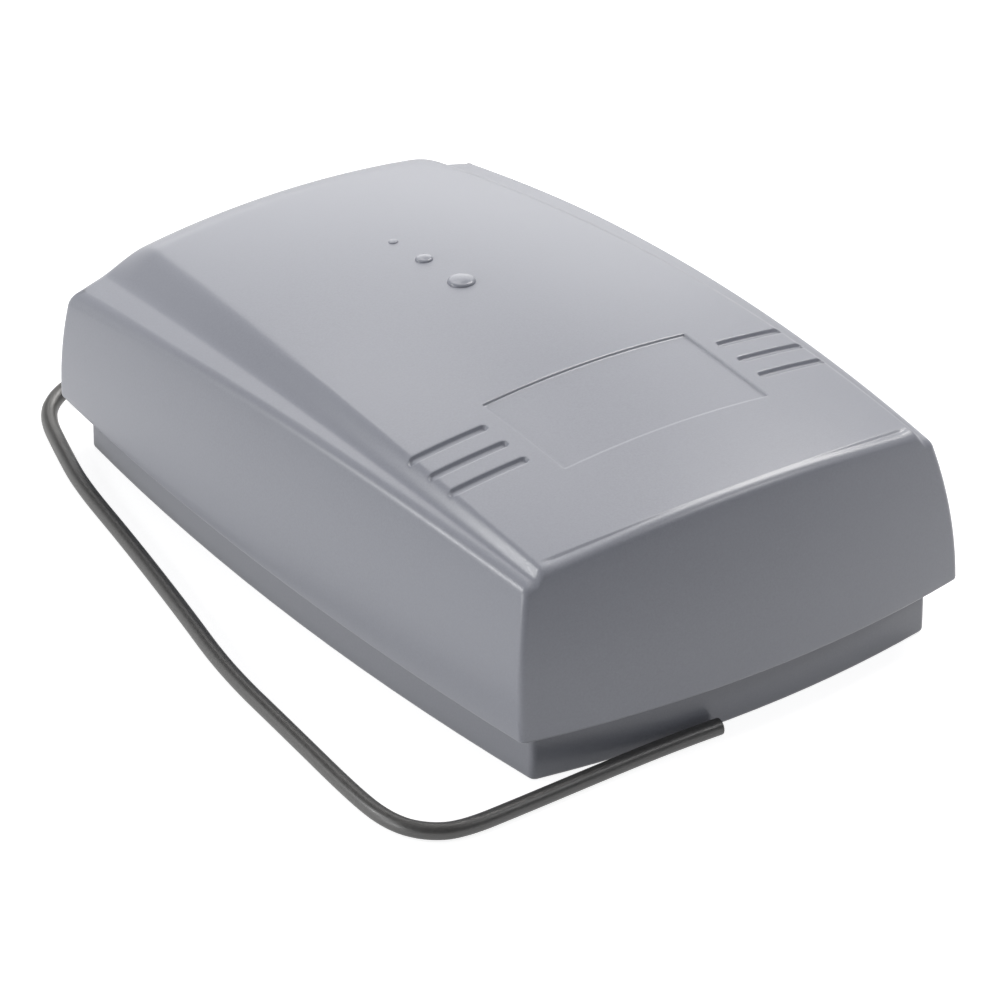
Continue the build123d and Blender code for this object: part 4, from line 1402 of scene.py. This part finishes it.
    def build_rings(self) -> bpy.types.Object:
        """Builds a tinned ring at both ends of each track.

        Returns:
            The rings as one object, without a material.
        """
        piece = MeshPiece("board_rings")
        for start, end, width in self.tracks:
            for place in (start, end):
                self.lay(piece, *disc(place, self.ring_width + width / 2, self.ring_hole), self.ring_lift)
        return self.finish(piece, "tinned")

    def build_outlines(self) -> bpy.types.Object:
        """Builds the white printed outlines round the parts, a little clear of each.

        Returns:
            The outlines as one object, without a material.
        """
        piece = MeshPiece("board_outlines")
        cut = self.print_corner
        for name in self.outlines:
            low, high = (np.array(corner[:2]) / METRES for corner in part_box(name))
            (x0, y0), (x1, y1) = low - self.print_clear, high + self.print_clear
            path = np.array([
                (x0 + cut, y0), (x1 - cut, y0), (x1, y0 + cut), (x1, y1 - cut),
                (x1 - cut, y1), (x0 + cut, y1), (x0, y1 - cut), (x0, y0 + cut),
            ])
            self.lay(piece, *ribbon(path, self.print_width, closed=True), self.print_lift)
        inner, outer = self.round_clear
        for can in self.cans:
            ring = disc((can.x, can.y), can.radius + outer, can.radius + inner, 48)
            self.lay(piece, *ring, self.print_lift)
        return self.finish(piece, "knob_white")

    def build_ends(self) -> bpy.types.Object:
        """Builds the tinned ends of the chip resistors and capacitors, which stand proud all round.

        Returns:
            The ends as one object, without a material.
        """
        piece, (wider, out) = MeshPiece("chip_ends"), self.end_proud
        for chips in self.chips:
            length, width, height = chips.size
            size = (self.end_share * length, width + wider, height + wider)
            points, faces = rounded_block(size, self.end_rounding, 2)
            for x, y in chips.places:
                for sign in (-1, 1):
                    offset = (x + sign * (self.end_at * length + out), y, self.top + height / 2 + out)
                    piece.block(points + offset, faces)
        return self.finish(piece, "tinned")

    def build_sleeves(self) -> bpy.types.Object:
        """Builds the pale polarity stripe on each can's sleeve, a little proud of it and as deep in it.

        Returns:
            The stripes as one object, without a material.
        """
        piece, proud = MeshPiece("sleeve_stripes"), self.stripe_proud
        turn = np.radians(np.linspace(*self.stripe_angles, 13))
        out = np.stack([np.cos(turn), np.sin(turn), np.zeros(len(turn))], axis=-1)
        for can in self.cans:
            middle = (can.x, can.y, self.top)
            rows = [
                middle + (can.radius + proud) * out + (0, 0, share * can.height)
                for share in self.stripe_heights
            ]
            piece.slab(np.stack(rows), grid_faces(2, len(turn)), np.tile(-2 * proud * out, (2, 1)))
        return self.finish(piece, "knob_white")

    def build_can_tops(self) -> bpy.types.Object:
        """Builds the bare metal top of each can: a shallow dish with a crossed score.

        At a share s of its radius the dish rises by rise - depth * (1 - s^2), less the score's depth along
        two lines that cross at its middle. Its rim drops to the can's top and into it by the skirt.

        Returns:
            The can tops as one object, without a material.
        """
        piece, turn = MeshPiece("can_tops"), turns(64)
        share = np.concatenate([np.linspace(0.02, 0.96, 22), [1.0]])[:, None]
        for can in self.cans:
            radius = (can.radius - self.can_rim) * share
            dx, dy = radius * np.cos(turn), radius * np.sin(turn)
            score = 1 - smooth(*self.score_edges, np.minimum(np.abs(dx), np.abs(dy)))
            dish = self.dish_rise - self.dish_depth * (1 - share**2)
            dish = dish - self.score_depth * score * (share < self.score_reach)
            lift = np.where(share < 1, dish, 0.0)
            rows = np.stack([can.x + dx, can.y + dy, self.top + can.height + lift], axis=-1)
            numbers = piece.tube(rows, inward=True)
            piece.join(numbers[:1])
            under = piece.block(rows[-1] - (0, 0, self.can_skirt), np.arange(len(turn))[None, ::-1])
            piece.bridge(under, numbers[-1])
        return self.finish(piece, "tinned")


# The studio


WARM: Colour = (1.0, 0.98, 0.955)


@dataclass(frozen=True)
class Lamp:
    """One soft square lamp, aimed at the part; its place and size are in metres."""

    name: str
    place: Point
    size: float
    watts: float
    colour: Colour = (1.0, 1.0, 1.0)


@dataclass
class Studio:
    """Camera, lamps, floor and surroundings of the photograph.

    The pool of white on the floor is whole up to a distance in metres, and falls to a share by another.
    """

    camera_at: Point = (-435.74, -615.33, 451.0)
    looks_at: Point = (5.379, 7.332, 0.0)
    lens: float = 249.76
    white: Colour = (1.0, 1.0, 1.0)
    room: Colour = (0.1, 0.1, 0.11)
    room_light: Colour = (0.2, 0.205, 0.22)
    floor_reach: float = 3.0
    floor_gap: float = 2e-5
    floor_greys: Point = (0.5, 0.6, 0.45)
    floor_white: float = 0.85
    floor_gleam: float = 0.75
    pool: Point = (0.08, 0.24, 0.1)
    lamps: tuple[Lamp, ...] = (
        Lamp("key", (0.72, 0.25, 0.95), 0.6, 10.3, WARM),
        Lamp("overhead", (-0.1, 0.1, 1.3), 0.9, 1.6, WARM),
        Lamp("back_high", (0.3, 0.85, 0.85), 0.4, 1.2, WARM),
        Lamp("front_high", (0.55, -0.6, 0.75), 0.2, 1.5),
        Lamp("left_side", (-1.25, 0.2, 0.14), 0.5, 5.0),
        Lamp("back_right", (0.7, 1.15, 0.42), 0.7, 2.0),
        Lamp("back_left", (-1.0, 0.72, 0.62), 0.24, 4.6),
    )

    def camera(self) -> bpy.types.Object:
        """Makes the camera and looks through it.

        Returns:
            The camera.
        """
        data = bpy.data.cameras.new("view")
        data.lens = self.lens
        data.sensor_width = 36.0
        data.clip_start = 0.01
        made = bpy.data.objects.new("view", data)
        bpy.context.scene.collection.objects.link(made)
        made.location = Vector(self.camera_at) * METRES
        aim = (Vector(self.looks_at) - Vector(self.camera_at)) * METRES
        made.rotation_euler = aim.to_track_quat("-Z", "Y").to_euler()
        bpy.context.scene.camera = made
        return made

    def light(self) -> None:
        """Makes the soft lamps."""
        for lamp in self.lamps:
            data = bpy.data.lights.new(lamp.name, "AREA")
            data.shape = "SQUARE"
            data.size = lamp.size
            data.energy = lamp.watts
            data.color = lamp.colour
            made = bpy.data.objects.new(lamp.name, data)
            bpy.context.scene.collection.objects.link(made)
            made.location = lamp.place
            made.rotation_euler = (-Vector(lamp.place)).to_track_quat("-Z", "Y").to_euler()

    @staticmethod
    def by_ray(tree: Tree, seen: Value, glossy: Value, other: Value) -> Socket:
        """Picks a shader by the kind of ray: one for camera and glass, one for reflections, one for light.

        Args:
            tree: the node tree that is being built.
            seen: shader for what is seen directly or through glass.
            glossy: shader for reflections.
            other: shader for the light that it gives.

        Returns:
            The picked shader's output.
        """
        rays = tree.node("ShaderNodeLightPath").outputs
        direct = tree.maths("MAXIMUM", rays["Is Camera Ray"], rays["Is Transmission Ray"])
        unseen = tree.node("ShaderNodeMixShader", None, _0=rays["Is Glossy Ray"], _1=other, _2=glossy)
        return tree.node("ShaderNodeMixShader", None, _0=direct, _1=unseen.outputs[0], _2=seen).outputs[0]

    def world(self) -> None:
        """Surroundings: white where they are seen, a dim room in reflections, a low light on the part."""
        world = bpy.data.worlds.new("surroundings")
        bpy.context.scene.world = world
        world.use_nodes = True
        tree = Tree(world.node_tree)
        looks = [
            tree.node("ShaderNodeBackground", None, Color=colour).outputs[0]
            for colour in (self.white, self.backdrop(tree), self.room_light)
        ]
        tree.node("ShaderNodeOutputWorld", None, Surface=self.by_ray(tree, *looks))

    def backdrop(self, tree: Tree) -> Socket:
        """What is reflected: white low down behind the part, where its backdrop stands, else the room.

        Args:
            tree: the node tree that is being built.

        Returns:
            The colour's output.
        """
        place = tree.node("ShaderNodeTexCoord").outputs["Generated"]
        parts = tree.node("ShaderNodeSeparateXYZ", None, _0=place).outputs
        behind, low = tree.ramp(parts["Y"], 0.25, 0.6, 0.0, 1.0), tree.ramp(parts["Z"], 0.18, 0.4, 1.0, 0.0)
        return tree.blend(tree.maths("MULTIPLY", behind, low), self.room, self.white)

    def light_pool(self, tree: Tree) -> Socket:
        """The floor's reflected white, which fades with the distance from the part.

        Args:
            tree: the node tree that is being built.

        Returns:
            The strength's output.
        """
        near, far, share = self.pool
        place = tree.node("ShaderNodeTexCoord").outputs["Object"]
        away = tree.node("ShaderNodeVectorMath", {"operation": "LENGTH"}, _0=place).outputs["Value"]
        return tree.ramp(away, near, far, self.floor_gleam, share * self.floor_gleam)

    def floor(self) -> bpy.types.Object:
        """A plain white floor: a matt surface that keeps the shadow, with part of its white its own.

        Returns:
            The floor, which is only stage and no piece of the part.
        """
        mesh = bpy.data.meshes.new("floor")
        reach, z = self.floor_reach, -self.floor_gap
        corners = [(-reach, -reach, z), (reach, -reach, z), (reach, reach, z), (-reach, reach, z)]
        mesh.from_pydata(corners, [], [(0, 1, 2, 3)])
        made = bpy.data.objects.new("floor", mesh)
        bpy.context.scene.collection.objects.link(made)
        material = bpy.data.materials.new("floor_white")
        material.use_nodes = True
        tree = Tree(material.node_tree)
        looks = []
        for grey, own_white in zip(self.floor_greys, (self.floor_white, self.light_pool(tree), 0.0)):
            matt = tree.node("ShaderNodeBsdfDiffuse", None, Color=(grey, grey, grey)).outputs[0]
            own = tree.node("ShaderNodeEmission", None, Strength=own_white).outputs[0]
            looks.append(tree.node("ShaderNodeAddShader", None, _0=matt, _1=own).outputs[0])
        tree.node("ShaderNodeOutputMaterial", None, Surface=self.by_ray(tree, *looks))
        mesh.materials.append(material)
        return made


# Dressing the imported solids


# Moulded: name, colour, roughness, grain's size, grain's depth, mottle, coat, specular.
# Metal: name, colour, roughness. Clear: name, colour, roughness, transmission.
FINISHES: dict[str, Moulded | Metal | Clear] = {
    "case_grey": CASE_GREY,
    "dome_grey": replace(CASE_GREY, name="dome_grey", roughness=0.2, grain_depth=0.001),
    # Painted shade: the tray takes the case grey darkened to 0.8, for the shadow under the cover's overhang.
    "tray_grey_painted_shade": replace(CASE_GREY, name="tray_grey_painted_shade", colour=shade(CASE_GREY.colour, 0.8)),
    "black_rubber": Moulded("bush_rubber", (0.022, 0.022, 0.023), 0.62, 0.3, 0.01, 0.15, 0.0, 0.4),
    "wire_black": Moulded("sheath_black", (0.058, 0.057, 0.054), 0.42, 0.5, 0.01, 0.2, 0.0, 1.0),
    "copper": Metal("core_copper", (0.80, 0.42, 0.25), 0.28),
    "board_green": Moulded("board_green", (0.012, 0.11, 0.045), 0.32, 0.6, 0.004, 0.1, 0.3),
    "track_green": Moulded("track_green", (0.03, 0.22, 0.075), 0.28, 0.6, 0.003, 0.08, 0.3),
    "print_white": Moulded("print_white", (0.72, 0.73, 0.70), 0.5, 0.2, 0.003, 0.05),
    "can_metal": Metal("can_metal", (0.72, 0.72, 0.71), 0.32),
    "steel_zinc": Metal("screw_zinc", (0.66, 0.67, 0.68), 0.28),
    "tinned": Metal("tinned", (0.68, 0.67, 0.64), 0.34),
    "relay_black": Moulded("relay_black", (0.02, 0.02, 0.022), 0.3, 0.3, 0.004, 0.12, 0.1),
    "terminal_green": Moulded("terminal_green", (0.015, 0.20, 0.085), 0.4, 0.25, 0.005, 0.08),
    "module_board": Moulded("module_board", (0.01, 0.06, 0.16), 0.3, 0.5, 0.004, 0.1, 0.3),
    "chip_black": Moulded("chip_black", (0.028, 0.028, 0.03), 0.55, 0.12, 0.004, 0.15),
    "header_black": Moulded("header_black", (0.02, 0.02, 0.021), 0.45, 0.2, 0.004, 0.12),
    "capacitor_sleeve": Moulded("capacitor_sleeve", (0.015, 0.02, 0.05), 0.25, 0.5, 0.003, 0.1, 0.4),
    "varistor_blue": Moulded("varistor_blue", (0.02, 0.11, 0.34), 0.35, 0.35, 0.02, 0.12, 0.2),
    "fuse_glass": Clear("fuse_glass", (0.94, 0.97, 0.97)),
    "switch_black": Moulded("switch_black", (0.02, 0.02, 0.021), 0.42, 0.2, 0.004, 0.12),
    "button_black": Moulded("button_black", (0.035, 0.035, 0.036), 0.4, 0.2, 0.004, 0.12),
    "led_red": Clear("lens_red", (0.75, 0.03, 0.03), 0.08, 0.75),
    "dip_red": Moulded("dip_red", (0.45, 0.02, 0.018), 0.32, 0.2, 0.003, 0.08, 0.2),
    "knob_white": Moulded("knob_white", (0.78, 0.78, 0.75), 0.4, 0.2, 0.003, 0.04),
    "trimmer_blue": Moulded("trimmer_blue", (0.015, 0.11, 0.40), 0.3, 0.3, 0.003, 0.08, 0.2),
    "ceramic_tan": Moulded("ceramic_tan", (0.36, 0.25, 0.15), 0.45, 0.2, 0.004, 0.1),
}


class Wardrobe:
    """Makes each finish once and puts it on pieces."""

    def __init__(self) -> None:
        """Starts with nothing made."""
        self.made: dict[str, bpy.types.Material] = {}

    def get(self, slot: str) -> bpy.types.Material:
        """The material of a slot of the record.

        Args:
            slot: the slot's name, a key of FINISHES.

        Returns:
            The material, made when it is first asked for.
        """
        if slot not in self.made:
            self.made[slot] = FINISHES[slot].make()
        return self.made[slot]

    def dress(self, piece: bpy.types.Object, slot: str) -> None:
        """Puts the slot's material on a new piece."""
        piece.data.materials.clear()
        piece.data.materials.append(self.get(slot))

    def dress_nodes(self) -> int:
        """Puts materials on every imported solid, and returns how many.

        Returns:
            How many solids the record lists.
        """
        slots = {row["node"]: row["material_slot"] for row in frame["record"]["subparts"]}
        for name, node in frame["nodes"].items():
            # The tray gets the darkened grey, painted shade for the shadow under the cover's overhang.
            slot = "tray_grey_painted_shade" if name == "base_tray" else slots[name]
            for holder in node.material_slots:
                holder.material = self.get(slot)
            if not node.material_slots:
                node.data.materials.append(self.get(slot))
        return len(slots)


def main() -> None:
    """Builds the camera and the aerial, then every other piece in order, and the studio round them."""
    logging.basicConfig(level=logging.INFO, format="%(name)s: %(message)s")
    studio, wardrobe = Studio(), Wardrobe()
    studio.camera()
    for piece, look in zip(Aerial().build(), ("wire_black", "copper")):
        wardrobe.dress(piece, look)
        log.info("%s laid", piece.name)
    cover, board = TopCover(), BoardDress()
    for build, look in (
        (cover.build, "case_grey"), (cover.build_domes, "dome_grey"), (board.build_tracks, "track_green"),
        (board.build_rings, "tinned"), (board.build_outlines, "print_white"), (board.build_ends, "tinned"),
        (board.build_sleeves, "print_white"), (board.build_can_tops, "can_metal"),
    ):
        piece = build()
        wardrobe.dress(piece, look)
        log.info("%s has %d faces", piece.name, len(piece.data.polygons))
    log.info("%d packed solids dressed", wardrobe.dress_nodes())
    studio.light()
    studio.world()
    studio.floor()
    bpy.context.scene.view_settings.view_transform = "Standard"


if __name__ == "__main__":
    main()
